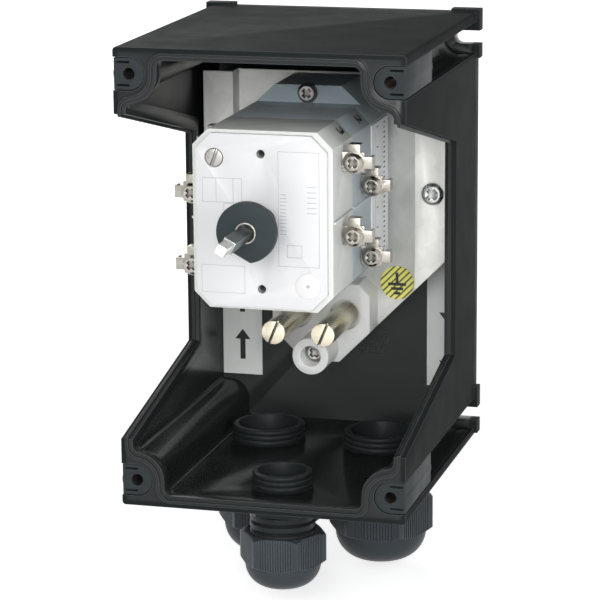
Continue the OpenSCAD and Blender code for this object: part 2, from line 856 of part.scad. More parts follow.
// A push-in plug over the lower of the two screws.
module screw_plug() {
  face = face_front + sleeve_gap;
  head = face_t - face_floor - sleeve_gap;
  color("#ffffff") place() translate([through_half, 0, axis_z - through_up]) {
    bar_y(plug_r, face_front - plug_t, plug_t);
    bar_y(through_head_d / 2, face_front - plug_t, plug_t + sleeve_gap + head / 2);
  }
}

// The earth block's outline, seen from the front, its slants along the plate's.
module earth_block_outline() {
  a = block_half;
  c = block_chamfer;
  low = boss_r;
  polygon([
    [-a, block_top - c], [c - a, block_top], [a - c, block_top], [a, block_top - c],
    [a, plate_vee + a], [low, plate_vee + low], [-low, plate_vee + low], [-a, plate_vee + a]
  ]);
}

module earth_block() {
  recess_r = mount_head_d / 2 + sleeve_gap;
  color("#e9eae6") place() difference() {
    union() {
      along_y(block_front, block_d) earth_block_outline();
      translate([0, 0, boss_z]) bar_y(boss_r, boss_front, boss_len + block_d);
    }
    translate([0, 0, boss_z]) {
      bar_y(recess_r, boss_front - over, boss_sink + mount_head_h + over);
      bar_y(mount_screw_d / 2 + run_gap, boss_front, boss_len + block_d + over);
    }
    both_sides() translate([post_half, 0, post_z]) {
      bar_y(post_r + post_recess / 2, block_front - over, post_recess + over);
      bar_y(post_stem_r + run_gap, block_front, block_d + over);
    }
  }
}

// The two long slotted earth posts, screwed into the plate.
module earth_posts() {
  y0 = block_front - post_len;
  y1 = block_front + post_recess;
  color("#d9cdb0") place() for (s = [-1, 1]) translate([s * post_half, 0, post_z])
    difference() {
      union() {
        bar_y(post_r, y0, y1 - y0);
        bar_y(post_stem_r, y1 - over, mid_y + 2 * sheet_t - y1 + over);
      }
      rotate([0, 22, 0]) translate([-screw_slot_w / 2, y0 - over, -2 * post_r])
        cube([screw_slot_w, over + 2 * screw_slot_w, 4 * post_r]);
    }
}

module upper_mount_screw() {
  color("#b9b8b2") place() translate([0, tab_y - mount_head_h, tab_screw_z])
    cross_screw(mount_head_d, mount_head_h, mount_screw_d, mid_y - tab_y + 2 * sheet_t);
}

module lower_mount_screw() {
  y0 = boss_front + boss_sink;
  color("#b9b8b2") place() translate([0, y0, boss_z])
    cross_screw(mount_head_d, mount_head_h, mount_screw_d, mid_y - y0 - mount_head_h + 2 * sheet_t);
}

module back_labels() {
  x1 = case_w / 2 - wall - sleeve_gap;
  color("#d2d4d1") place() both_sides()
    translate([x1 - strip_label_w, inner_back - label_t, strip_label_low])
      cube([strip_label_w, label_t, strip_label_len]);
}

module earth_label() {
  color("#e6d84a") place() translate([earth_label_x, 0, earth_label_z])
    bar_y(earth_label_r, mid_y - label_t, label_t);
}

module side_label() {
  long = deck_h - 2 * deck_chamfer - 2 * over;
  color("#f4f4f2") place() translate([deck_w / 2, base_front + over, axis_z - long / 2])
    cube([label_t, deck_d - 2 * over, long]);
}

// A square hole or bar round the shaft's axis, from y0 backwards.
module square_bar(w, y0, len) {
  along_y(y0, len) rotate(-shaft_turn) square([w, w], center = true);
}

module drive_shaft() {
  square_end = base_front + cam_space_d - run_gap;
  color("#8f9496") place() translate([0, 0, axis_z]) {
    square_bar(shaft_sq * tip_share, -shaft_front, tip_len + over);
    square_bar(shaft_sq, tip_len - shaft_front, square_end + shaft_front - tip_len);
    bar_y(journal_r, square_end - over, journal_len + over);
  }
}

// Takes the hole for the square shaft out of its children.
module on_shaft(y0, len) {
  difference() {
    children();
    square_bar(shaft_sq + 2 * fit_gap, y0 - over, len + 2 * over);
  }
}

module coupling_disc() {
  y0 = -disc_front;
  y1 = y0 + disc_t;
  y2 = y1 + disc_drum_t;
  y3 = deck_front + rotor_end_gap / 2;
  color("#4a4f52") place() translate([0, 0, axis_z]) on_shaft(y0, y3 - y0) {
    along_y(y0, disc_t) rotate(-shaft_turn) difference() {
      circle(disc_r);
      translate([-2 * disc_r, -disc_flat - 2 * disc_r]) square([4 * disc_r, 2 * disc_r]);
    }
    along_y(y1 - weld, disc_drum_t + weld) rotate(-shaft_turn) difference() {
      circle(disc_drum_r);
      translate([-2 * disc_r, disc_flat - over]) square([2 * disc_r, 2 * disc_r]);
    }
    bar_y(hub_r, y2 - weld, y3 - y2 + weld);
  }
}

module shaft_collar() {
  color("#d9d6c4") place() translate([0, 0, axis_z]) difference() {
    bar_y(collar_r, -disc_front - collar_t, collar_t);
    bar_y(shaft_sq * sqrt(2) / 2 + fit_gap, -disc_front - collar_t - over, collar_t + 2 * over);
  }
}

// The two moving contacts of a deck: [angle, depth of the blade's front].
function blades(y0, flip) = [
  for (plane = [0, 1])
    [(plane == 0) == flip ? -45 : 45, strip_y(y0) + strip_t + plane * plane_step + run_gap]
];

module blade(b, g) {
  rotate([0, -b[0], 0]) translate([-blade_half - g, b[1] - g, -blade_w / 2 - g])
    cube([2 * blade_half + 2 * g, strip_t + 2 * g, blade_w + 2 * g]);
}

module rotor(y0, flip) {
  start = y0 + rotor_end_gap;
  long = deck_d - deck_floor - 2 * rotor_end_gap;
  on_shaft(start, long) difference() {
    bar_y(rotor_r, start, long);
    for (b = blades(y0, flip)) blade(b, fit_gap);
  }
}

module rotor_blades(y0, flip) {
  on_shaft(y0, deck_d) for (b = blades(y0, flip)) blade(b, 0);
}

module inner_rotor() {
  color("#8b5a3c") place() translate([0, 0, axis_z]) rotor(deck_front + deck_d, true);
}

module outer_rotor() {
  color("#8b5a3c") place() translate([0, 0, axis_z]) rotor(deck_front, false);
}

module inner_blades() {
  color("#c9894f") place() translate([0, 0, axis_z]) rotor_blades(deck_front + deck_d, true);
}

module outer_blades() {
  color("#c9894f") place() translate([0, 0, axis_z]) rotor_blades(deck_front, false);
}

// The cam that turns with the shaft in the base.
module stop_cam() {
  start = base_front + rotor_end_gap;
  color("#3c3f42") place() translate([0, 0, axis_z])
    on_shaft(start, cam_t) along_y(start, cam_t) rotate(-shaft_turn) {
      circle(rotor_r);
      for (a = [0, 180]) rotate(a) translate([0, -blade_w / 2]) square([cam_reach, blade_w]);
    }
}

// Heights of the parts of gland i under the floor, down from zero.
function flange_low(i) = -gasket_t - flange_share * thread_d(i);
function cap_high(i) = flange_low(i) - cap_tight_gap - cap_open;
function ring_low(i) = cap_high(i) - cap_len(i) + cap_end + run_gap;
function barrel_low(i) = ring_low(i) + clamp_ring_len + cap_open + cap_tight_gap / 5;

// A stack of thread ridges between two heights, radius r at their crests.
module ridges(r, low, high, count) {
  pitch = (high - low) / count;
  depth = pitch * ridge_share / 2;
  rotate_extrude() polygon([
    [0, low], each [
      for (k = [0:count - 1])
        each [
          [r - depth, low + k * pitch], [r, low + (k + (1 - ridge_share) / 2) * pitch],
          [r, low + (k + (1 + ridge_share) / 2) * pitch], [r - depth, low + (k + 1) * pitch]
        ]
    ], [0, high]
  ]);
}

module hex_prism(af, low, high) {
  translate([0, 0, low]) rotate(cap_turn) linear_extrude(high - low) circle(af / sqrt(3), $fn = 6);
}

module gland_body(i) {
  d = thread_d(i);
  low = barrel_low(i);
  color("#303336") place() at_gland(i) difference() {
    union() {
      ridges(d / 2, wall, wall + thread_up, inner_ridges);
      translate([0, 0, -gasket_t - weld]) cylinder(r = d / 2, h = wall + gasket_t + weld);
      hex_prism(cap_af(i) * body_af_share, flange_low(i), -gasket_t);
      ridges(d * barrel_share, low, flange_low(i), barrel_ridges);
    }
    translate([0, 0, low]) cylinder(r = d * bore_share, h = wall + thread_up - low + over);
    translate([0, 0, low - over]) cylinder(r = d * seat_share, h = seal_len + over);
  }
}

module front_gland_body() { gland_body(0); }
module left_gland_body() { gland_body(1); }
module right_gland_body() { gland_body(2); }

module gland_gaskets() {
  color("#1c1d1f") place() for (i = [0:2]) at_gland(i) translate([0, 0, -gasket_t]) difference() {
    cylinder(r = cap_af(i) * body_af_share / 2, h = gasket_t);
    translate([0, 0, -over]) cylinder(r = thread_d(i) / 2 + fit_gap, h = gasket_t + 2 * over);
  }
}

module gland_seals() {
  color("#1a1a1b") place() for (i = [0:2]) at_gland(i) translate([0, 0, barrel_low(i)]) difference() {
    cylinder(r = thread_d(i) * seat_share - fit_gap, h = seal_len - fit_gap);
    translate([0, 0, -over]) cylinder(r = thread_d(i) * cable_share, h = seal_len + 2 * over);
  }
}

module clamp_ring(i) {
  color("#55595c") place() at_gland(i) translate([0, 0, ring_low(i)]) difference() {
    cylinder(r = thread_d(i) * ring_share, h = clamp_ring_len);
    translate([0, 0, -over]) cylinder(r = thread_d(i) * mouth_share, h = clamp_ring_len + 2 * over);
  }
}

module front_clamp_ring() { clamp_ring(0); }
module left_clamp_ring() { clamp_ring(1); }
module right_clamp_ring() { clamp_ring(2); }

// One ribbed face of a cap's hexagon, as points along the face at distance af / 2.
function cap_face(af, turn) =
  let (
    band = rib_band_share * af / sqrt(3),
    step = band / (2 * cap_ribs + 1),
    along = [-sin(turn), cos(turn)],
    out = [cos(turn), sin(turn)]
  )
  [
    for (k = [0:cap_ribs - 1], q = [0:3])
      let (
        u = step * (2 * k + 1 + (q < 2 ? 0 : 1)) - band / 2,
        h = q == 1 || q == 2 ? cap_rib_h : 0
      )
      along * u + out * (af / 2 - h)
  ];

// The ribbed hexagon of a cap.
module cap_outline(af) {
  rotate(cap_turn) polygon([
    for (k = [0:5])
      each concat([af / sqrt(3) * [cos(60 * k), sin(60 * k)]], cap_face(af, 60 * k + 30))
  ]);
}

// Half of a section that trims the corners of a cap's hexagon.
module cap_trim_section(i) {
  r = cap_af(i) / 2;
  corner = cap_af(i) / sqrt(3);
  hex = cap_len(i) * cap_hex_share;
  trim = (corner - r) / 2;
  polygon([[0, 0], [r, 0], [corner, -trim], [corner, trim - hex], [r, -hex], [0, -hex]]);
}

// Half of the section of a cap's round end.
module cap_dome_section(i) {
  r = cap_af(i) / 2;
  hex = cap_len(i) * cap_hex_share;
  dome = cap_len(i) - hex;
  translate([0, -hex]) intersection() {
    translate([0, -dome]) square([r, dome]);
    union() {
      translate([0, -dome]) square([r - dome, dome]);
      translate([r - dome, 0]) circle(dome);
    }
  }
}

module gland_cap(i) {
  hex = cap_len(i) * cap_hex_share;
  pocket = cap_end + clamp_ring_len + run_gap;
  color("#2b2e31") place() at_gland(i) translate([0, 0, cap_high(i)]) difference() {
    union() {
      intersection() {
        rotate_extrude() cap_trim_section(i);
        translate([0, 0, -hex]) linear_extrude(hex) cap_outline(cap_af(i));
      }
      rotate_extrude() cap_dome_section(i);
    }
    translate([0, 0, cap_end - cap_len(i)])
      cylinder(r = thread_d(i) * ring_share + run_gap, h = clamp_ring_len + over);
    translate([0, 0, pocket - cap_len(i)])
      cylinder(r = thread_d(i) * barrel_share + run_gap, h = cap_len(i));
    translate([0, 0, -cap_len(i) - over]) cylinder(r = thread_d(i) * mouth_share, h = cap_end + 2 * over);
  }
}

module front_gland_cap() { gland_cap(0); }
module left_gland_cap() { gland_cap(1); }
module right_gland_cap() { gland_cap(2); }

case();
screw_sleeves();
sleeve_bushes();
mounting_plate();
plate_screws();
switch_base();
inner_deck();
outer_deck();
front_plate();
through_screws();
screw_plug();
inner_contact_strips();
outer_contact_strips();
inner_clamp_plates();
outer_clamp_plates();
inner_terminal_screws();
outer_terminal_screws();
upper_mount_screw();
lower_mount_screw();
earth_block();
earth_posts();
back_labels();
earth_label();
side_label();
drive_shaft();
coupling_disc();
shaft_collar();
inner_rotor();
outer_rotor();
stop_cam();
inner_blades();
outer_blades();
front_gland_body();
left_gland_body();
right_gland_body();
gland_gaskets();
gland_seals();
front_clamp_ring();
left_clamp_ring();
right_clamp_ring();
front_gland_cap();
left_gland_cap();
right_gland_cap();
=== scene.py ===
"""Looks of an opened flameproof safety switch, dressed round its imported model.

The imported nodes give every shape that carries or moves. Here they get softened edges,
finishes and the fine moulded and printed details, and the studio they stand in.
All lengths are in metres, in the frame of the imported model: the origin is the middle of
the case's back face, the open front faces -Y and Z points up.
"""

import logging
import math
from dataclasses import dataclass, field
from enum import Enum

import bmesh
import bpy
from mathutils import Matrix, Vector

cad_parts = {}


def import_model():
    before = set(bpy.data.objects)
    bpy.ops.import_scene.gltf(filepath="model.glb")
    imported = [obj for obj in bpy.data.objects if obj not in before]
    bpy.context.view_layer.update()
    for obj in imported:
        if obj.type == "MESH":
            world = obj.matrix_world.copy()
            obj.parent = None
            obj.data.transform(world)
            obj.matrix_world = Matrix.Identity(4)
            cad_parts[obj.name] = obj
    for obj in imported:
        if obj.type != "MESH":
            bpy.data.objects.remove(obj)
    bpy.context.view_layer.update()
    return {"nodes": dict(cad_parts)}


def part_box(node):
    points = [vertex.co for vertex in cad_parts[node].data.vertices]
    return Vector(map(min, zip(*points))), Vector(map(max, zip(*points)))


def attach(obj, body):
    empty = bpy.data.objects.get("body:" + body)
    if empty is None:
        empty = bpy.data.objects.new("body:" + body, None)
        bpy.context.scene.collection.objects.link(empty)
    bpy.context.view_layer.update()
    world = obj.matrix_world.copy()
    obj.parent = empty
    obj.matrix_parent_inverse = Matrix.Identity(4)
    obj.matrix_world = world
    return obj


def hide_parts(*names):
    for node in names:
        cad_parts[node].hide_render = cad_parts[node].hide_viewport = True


LOG = logging.getLogger("safety_switch")
MM = 0.001
Colour = tuple[float, float, float]
Point = tuple[float, float, float]
Span = tuple[float, float]
Socket = bpy.types.NodeSocket
Thing = bpy.types.Object
Material = bpy.types.Material

# A Mix node's colour sockets share their names with its number sockets, so they go by place.
MIX_FACTOR, MIX_FIRST, MIX_SECOND, MIX_RESULT = 0, 6, 7, 2
# The range in which most values of a noise lie.
NOISE_CORE: Span = (0.3, 0.7)
# Ambient occlusion of a face down in a groove, and of a free face: the ends of the painted shade in
# grooves and recesses.
GROOVE_LIGHT: Span = (0.35, 0.85)
# The band of painted highlight along outer edges: its width, and the turn and pointiness over which
# it fades.
EDGE_BAND = 0.5 * MM
EDGE_TURN: Span = (0.88, 0.985)
EDGE_POINT: Span = (0.49, 0.52)
# The width over which the finish of an inner room passes into the outer one.
ROOM_BLUR = 1.0 * MM
# Edges that turn by more degrees than this stay sharp.
SMOOTH_BELOW = 35.0
# How much the strokes of printed type are widened.
TYPE_WEIGHT = 0.22 * MM


class Body(Enum):
    """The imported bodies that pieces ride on."""

    HOUSING = "housing"
    SPINDLE = "spindle"
    FRONT_RING = "front_ring"
    FRONT_CAP = "front_cap"
    LEFT_RING = "left_ring"
    LEFT_CAP = "left_cap"
    RIGHT_RING = "right_ring"
    RIGHT_CAP = "right_cap"


class Graph:
    """A material's node tree, with short calls that add nodes and feed their inputs."""

    def __init__(self, name: str) -> None:
        """Starts an empty material with a Principled shader.

        Args:
            name: The material's name.
        """
        self.material = bpy.data.materials.new(name)
        self.material.use_nodes = True
        self.tree = self.material.node_tree
        self.tree.nodes.clear()
        self.output = self.add("OutputMaterial").inputs["Surface"]
        self.shader = self.add("BsdfPrincipled")
        self.skin = self.shader.outputs["BSDF"]
        self.feed(self.output, self.skin)
        self.place = self.add("TexCoord").outputs["Object"]

    def add(
        self, kind: str, feeds: dict[str | int, object] | None = None, **settings: object
    ) -> bpy.types.Node:
        """Adds a shader node.

        Args:
            kind: The node's Blender type without its first word.
            feeds: What its inputs get, by name or by place.
            **settings: Attributes to set on it first.

        Returns:
            The new node.
        """
        node = self.tree.nodes.new(f"ShaderNode{kind}")
        for key, value in settings.items():
            setattr(node, key, value)
        for key, value in (feeds or {}).items():
            self.feed(node.inputs[key], value)
        return node

    def feed(self, target: Socket, value: object) -> None:
        """Links a socket to an input, or sets the input's own value.

        Args:
            target: The input.
            value: A socket, a number, a colour or a vector.
        """
        if isinstance(value, Socket):
            self.tree.links.new(value, target)
        elif target.type == "RGBA":
            target.default_value = (*value, 1.0)
        else:
            target.default_value = value

    def noise(
        self, scale: float, detail: float = 3.0, stretch: Point = (1, 1, 1), shift: float = 0.0
    ) -> Socket:
        """Adds a noise texture in object coordinates.

        Args:
            scale: Number of features per metre.
            detail: Octaves of finer noise.
            stretch: Factor on the scale along each axis.
            shift: Offset that gives another pattern of the same kind.

        Returns:
            The noise value, about 0.5 on average.
        """
        feeds = {"Vector": self.place, "Scale": stretch, "Location": (shift, shift, shift)}
        place = self.add("Mapping", feeds).outputs["Vector"]
        feeds = {"Vector": place, "Scale": scale, "Detail": detail}
        return self.add("TexNoise", feeds).outputs["Fac"]

    def spangle(self, scale: float) -> Socket:
        """Adds a random level for each cell of a Voronoi texture.

        Args:
            scale: Number of cells per metre.

        Returns:
            A value between 0 and 1, the same all over a cell.
        """
        cells = self.add("TexVoronoi", {"Vector": self.place, "Scale": scale})
        return self.add("SeparateColor", {"Color": cells.outputs["Color"]}).outputs["Red"]

    def span(
        self, value: Socket, low: float, high: float, to_low: float, to_high: float
    ) -> Socket:
        """Maps one range of a value onto another, and clamps it.

        Args:
            value: The value.
            low: Where the first range starts.
            high: Where the first range ends.
            to_low: What low becomes.
            to_high: What high becomes.

        Returns:
            The mapped value.
        """
        feeds = {"Value": value, "From Min": low, "From Max": high}
        feeds |= {"To Min": to_low, "To Max": to_high}
        return self.add("MapRange", feeds).outputs["Result"]

    def times(self, first: Socket, second: Socket) -> Socket:
        """Returns one value times another."""
        return self.add("Math", {0: first, 1: second}, operation="MULTIPLY").outputs[0]

    def mix(self, factor: Socket, first: object, second: object) -> Socket:
        """Mixes two colours.

        Args:
            factor: 0 gives the first colour and 1 the second.
            first: A colour or a socket.
            second: A colour or a socket.

        Returns:
            The mixed colour.
        """
        feeds = {MIX_FACTOR: factor, MIX_FIRST: first, MIX_SECOND: second}
        return self.add("Mix", feeds, data_type="RGBA").outputs[MIX_RESULT]

    def bump(
        self, height: Socket, depth: float, strength: float, under: Socket | None = None
    ) -> Socket:
        """Adds a bump.

        Args:
            height: The height, from 0 to 1.
            depth: What a height of 1 is, in metres.
            strength: Share of the bump that shows.
            under: The normal of a coarser bump, or None.

        Returns:
            The bumped normal.
        """
        feeds = {"Height": height, "Distance": depth, "Strength": strength}
        if under is not None:
            feeds["Normal"] = under
        return self.add("Bump", feeds).outputs["Normal"]

    def occlusion_openness(self, reach: float) -> Socket:
        """Tells free faces from grooves and recesses of the same piece by ambient occlusion: the
        mask of painted shade.

        Args:
            reach: How wide a groove counts, in metres.

        Returns:
            1 on free faces, falling to 0 down in a groove.
        """
        node = self.add("AmbientOcclusion", {"Distance": reach}, samples=8, only_local=True)
        return self.span(node.outputs["AO"], *GROOVE_LIGHT, 0.0, 1.0)

    def along(self, axis: str) -> Socket:
        """Returns how far a point lies along an axis."""
        return self.add("SeparateXYZ", {0: self.place}).outputs[axis]

    def within(self, half_x: float, half_z: float) -> Socket:
        """Tells the inner room from what lies outside its side walls, floor and top.

        Args:
            half_x: Half the width of the inner room.
            half_z: Half the height of the inner room.

        Returns:
            1 in the room and 0 outside it.
        """
        shares = []
        for axis, half in (("X", half_x), ("Z", half_z)):
            size = self.add("Math", {0: self.along(axis)}, operation="ABSOLUTE").outputs[0]
            shares.append(self.span(size, half, half + ROOM_BLUR, 1.0, 0.0))
        return self.times(*shares)

    def edge_highlight(self) -> Socket:
        """Finds a narrow band along outer edges, the mask of a painted highlight.

        Returns:
            0 on flat faces, rising to 1 at the edge.
        """
        form = self.add("NewGeometry").outputs
        rounded = self.add("Bevel", {"Radius": EDGE_BAND}, samples=6).outputs["Normal"]
        feeds = {0: form["Normal"], 1: rounded}
        turned = self.add("VectorMath", feeds, operation="DOT_PRODUCT").outputs["Value"]
        near = self.span(turned, *EDGE_TURN, 1.0, 0.0)
        return self.times(near, self.span(form["Pointiness"], *EDGE_POINT, 0.0, 1.0))

    def closed(self, colour: Socket, rough: Socket, normal: Socket) -> Material:
        """Feeds the shader what varies over the surface, and closes the material.

        Args:
            colour: The base colour.
            rough: The roughness.
            normal: The normal.

        Returns:
            The material.
        """
        for name, value in (("Base Color", colour), ("Roughness", rough), ("Normal", normal)):
            self.feed(self.shader.inputs[name], value)
        return self.material


def shade(colour: Colour, factor: float) -> Colour:
    """Returns a colour made lighter or darker by a factor."""
    return tuple(min(1.0, part * factor) for part in colour)


@dataclass(frozen=True)
class Plastic:
    """A moulded plastic skin: fine spark-eroded grain over faint sink marks.

    Attributes:
        mottle: Share by which the colour varies.
        edge_light: How many times lighter the painted highlight along outer edges is.
        groove: The width up to which grooves get painted shade, or 0 where none do.
        room: Half the width and height of a shinier inner room, or None.
    """

    name: str
    colour: Colour
    roughness: float = 0.42
    mottle: float = 0.06
    edge_light: float = 1.25
    specular: float = 0.5
    groove: float = 0.0
    groove_shade: float = 0.25
    room: Span | None = None
    room_specular: float = 0.2
    room_polish: float = 0.5
    cloud_scale: float = 26.0
    smear_scale: float = 75.0
    grain_scale: float = 2400.0
    grain_depth: float = 0.04 * MM
    wave_scale: float = 14.0
    wave_depth: float = 0.25 * MM

    def make(self) -> Material:
        """Builds the material.

        Returns:
            The material.
        """
        graph = Graph(self.name)
        cloud = graph.noise(self.cloud_scale, 4.0)
        dark, light = (shade(self.colour, 1 + turn * self.mottle) for turn in (-1, 1))
        skin = graph.mix(cloud, dark, light)
        # Painted highlight: a lighter band along outer edges.
        skin = graph.mix(graph.edge_highlight(), skin, shade(self.colour, self.edge_light))
        # Painted shade: grooves turn darker where ambient occlusion is high.
        if self.groove > 0:
            painted_shade = shade(self.colour, self.groove_shade)
            skin = graph.mix(graph.occlusion_openness(self.groove), painted_shade, skin)
        graph.shader.inputs["Specular IOR Level"].default_value = self.specular
        smear = graph.noise(self.smear_scale, 3.0, shift=0.7)
        rough = graph.span(smear, *NOISE_CORE, self.roughness - 0.05, self.roughness + 0.06)
        if self.room is not None:
            rough = self.polish(graph, rough, self.room)
        waves = graph.bump(graph.noise(self.wave_scale, 1.0, shift=0.3), self.wave_depth, 0.6)
        grain = graph.noise(self.grain_scale, 2.0)
        return graph.closed(skin, rough, graph.bump(grain, self.grain_depth, 0.7, waves))

    def polish(self, graph: Graph, rough: Socket, room: Span) -> Socket:
        """Makes the walls of the inner room shinier and smoother than the outer skin.

        Args:
            graph: The material's tree.
            rough: The roughness of the outer skin.
            room: Half the width and height of the room.

        Returns:
            The roughness inside and outside.
        """
        inside = graph.within(*room)
        level = graph.span(inside, 0.0, 1.0, self.specular, self.room_specular)
        graph.feed(graph.shader.inputs["Specular IOR Level"], level)
        return graph.times(rough, graph.span(inside, 0.0, 1.0, 1.0, self.room_polish))


@dataclass(frozen=True)
class ZincSheet:
    """Galvanised sheet: dull pale zinc with soft spangle and long stains.

    Attributes:
        cells: Spangle cells per metre.
        stain_shade: How light a stain is beside the colour.
    """

    name: str
    colour: Colour
    metallic: float = 0.1
    cells: float = 150.0
    stain_scale: float = 34.0
    stain_stretch: Point = (1, 1, 0.45)
    stain_shade: float = 0.7
    smear_scale: float = 90.0
    roughness: Span = (0.34, 0.5)
    dent_scale: float = 420.0
    dent_depth: float = 0.05 * MM

    def make(self) -> Material:
        """Builds the material.

        Returns:
            The material.
        """
        graph = Graph(self.name)
        graph.shader.inputs["Metallic"].default_value = self.metallic
        dark, light = shade(self.colour, 0.94), shade(self.colour, 1.05)
        flake = graph.mix(graph.spangle(self.cells), dark, light)
        cloud = graph.noise(self.stain_scale, 5.0, self.stain_stretch, shift=1.7)
        dull = graph.span(cloud, 0.45, 0.64, 0.0, 1.0)
        stain = shade(self.colour, self.stain_shade)
        smear = graph.noise(self.smear_scale, 4.0, shift=0.4)
        rough = graph.span(smear, *NOISE_CORE, *self.roughness)
        dents = graph.bump(graph.noise(self.dent_scale, 3.0), self.dent_depth, 0.4)
        return graph.closed(graph.mix(dull, flake, stain), rough, dents)


@dataclass(frozen=True)
class PlatedMetal:
    """A plated screw or clamp: small dents and stains in the plating, painted shade in recesses.

    Attributes:
        stretch: Factor on the patterns' scale along each axis.
        recess: The width up to which slots and recesses get painted shade.
        tip: Where along Y a bright tip ends and the plain colour starts, or None.
    """

    name: str
    colour: Colour
    roughness: float = 0.22
    stretch: Point = (1, 1, 1)
    recess: float = 1.6 * MM
    recess_shade: float = 0.06
    tip: Span | None = None
    tip_colour: Colour = (0.78, 0.78, 0.76)
    stain_scale: float = 240.0
    smear_scale: float = 500.0
    dent_scale: float = 900.0
    dent_depth: float = 0.05 * MM

    def make(self) -> Material:
        """Builds the material.

        Returns:
            The material.
        """
        graph = Graph(self.name)
        graph.shader.inputs["Metallic"].default_value = 1.0
        stain = graph.noise(self.stain_scale, 4.0, self.stretch)
        plating = graph.mix(stain, shade(self.colour, 0.8), shade(self.colour, 1.08))
        if self.tip is not None:
            beyond = graph.span(graph.along("Y"), *self.tip, 0.0, 1.0)
            plating = graph.mix(beyond, self.tip_colour, plating)
        # Painted shade: slots and recesses turn darker where ambient occlusion is high.
        painted_shade = shade(self.colour, self.recess_shade)
        skin = graph.mix(graph.occlusion_openness(self.recess), painted_shade, plating)
        smear = graph.noise(self.smear_scale, 3.0, self.stretch, 0.2)
        rough = graph.span(smear, *NOISE_CORE, self.roughness - 0.07, self.roughness + 0.12)
        dents = graph.noise(self.dent_scale, 2.0, self.stretch)
        return graph.closed(skin, rough, graph.bump(dents, self.dent_depth, 0.4))


@dataclass(frozen=True)
class PrintedFilm:
    """A glossy printed film.

    Attributes:
        hatch: The colour of diagonal lines, or None for no lines.
        hatch_pitch: The distance from line to line.
    """

    name: str
    colour: Colour
    hatch: Colour | None = None
    hatch_pitch: float = 2.1 * MM
    roughness: float = 0.35
    cloud_scale: float = 130.0
    grain_scale: float = 800.0
    grain_depth: float = 0.02 * MM

    def make(self) -> Material:
        """Builds the material.

        Returns:
            The material.
        """
        graph = Graph(self.name)
        cloud = graph.noise(self.cloud_scale, 3.0)
        base = graph.mix(cloud, shade(self.colour, 0.94), shade(self.colour, 1.05))
        if self.hatch is not None:
            base = self.hatched(graph, base)
        rough = graph.span(cloud, *NOISE_CORE, self.roughness - 0.05, self.roughness + 0.08)
        grain = graph.noise(self.grain_scale, 2.0)
        return graph.closed(base, rough, graph.bump(grain, self.grain_depth, 0.4))

    def hatched(self, graph: Graph, base: Socket) -> Socket:
        """Lays diagonal lines over a colour.

        Args:
            graph: The material's tree.
            base: The colour between the lines.

        Returns:
            The hatched colour.
        """
        turn = {"Vector": graph.place, "Rotation": (0.0, math.radians(-45), 0.0)}
        place = graph.add("Mapping", turn).outputs["Vector"]
        # At a scale of 1 a wave texture's lines lie pi / 10 apart.
        scale = math.pi / 10 / self.hatch_pitch
        wave = graph.add(
            "TexWave", {"Vector": place, "Scale": scale, "Distortion": 0.0},
            wave_type="BANDS", bands_direction="X", wave_profile="SIN",
        )
        return graph.mix(graph.span(wave.outputs["Fac"], 0.7, 0.82, 0.0, 1.0), base, self.hatch)


@dataclass(frozen=True)
class Rubber:
    """Dull black rubber with a bloom."""

    name: str
    colour: Colour
    bloom_scale: float = 180.0
    bloom_shade: float = 1.7
    roughness: Span = (0.62, 0.8)
    grain_scale: float = 1500.0
    grain_depth: float = 0.05 * MM

    def make(self) -> Material:
        """Builds the material.

        Returns:
            The material.
        """
        graph = Graph(self.name)
        bloom = graph.noise(self.bloom_scale, 5.0)
        skin = graph.mix(bloom, self.colour, shade(self.colour, self.bloom_shade))
        rough = graph.span(bloom, *NOISE_CORE, *self.roughness)
        grain = graph.noise(self.grain_scale, 2.0)
        return graph.closed(skin, rough, graph.bump(grain, self.grain_depth, 0.5))


Finish = Plastic | ZincSheet | PlatedMetal | PrintedFilm | Rubber


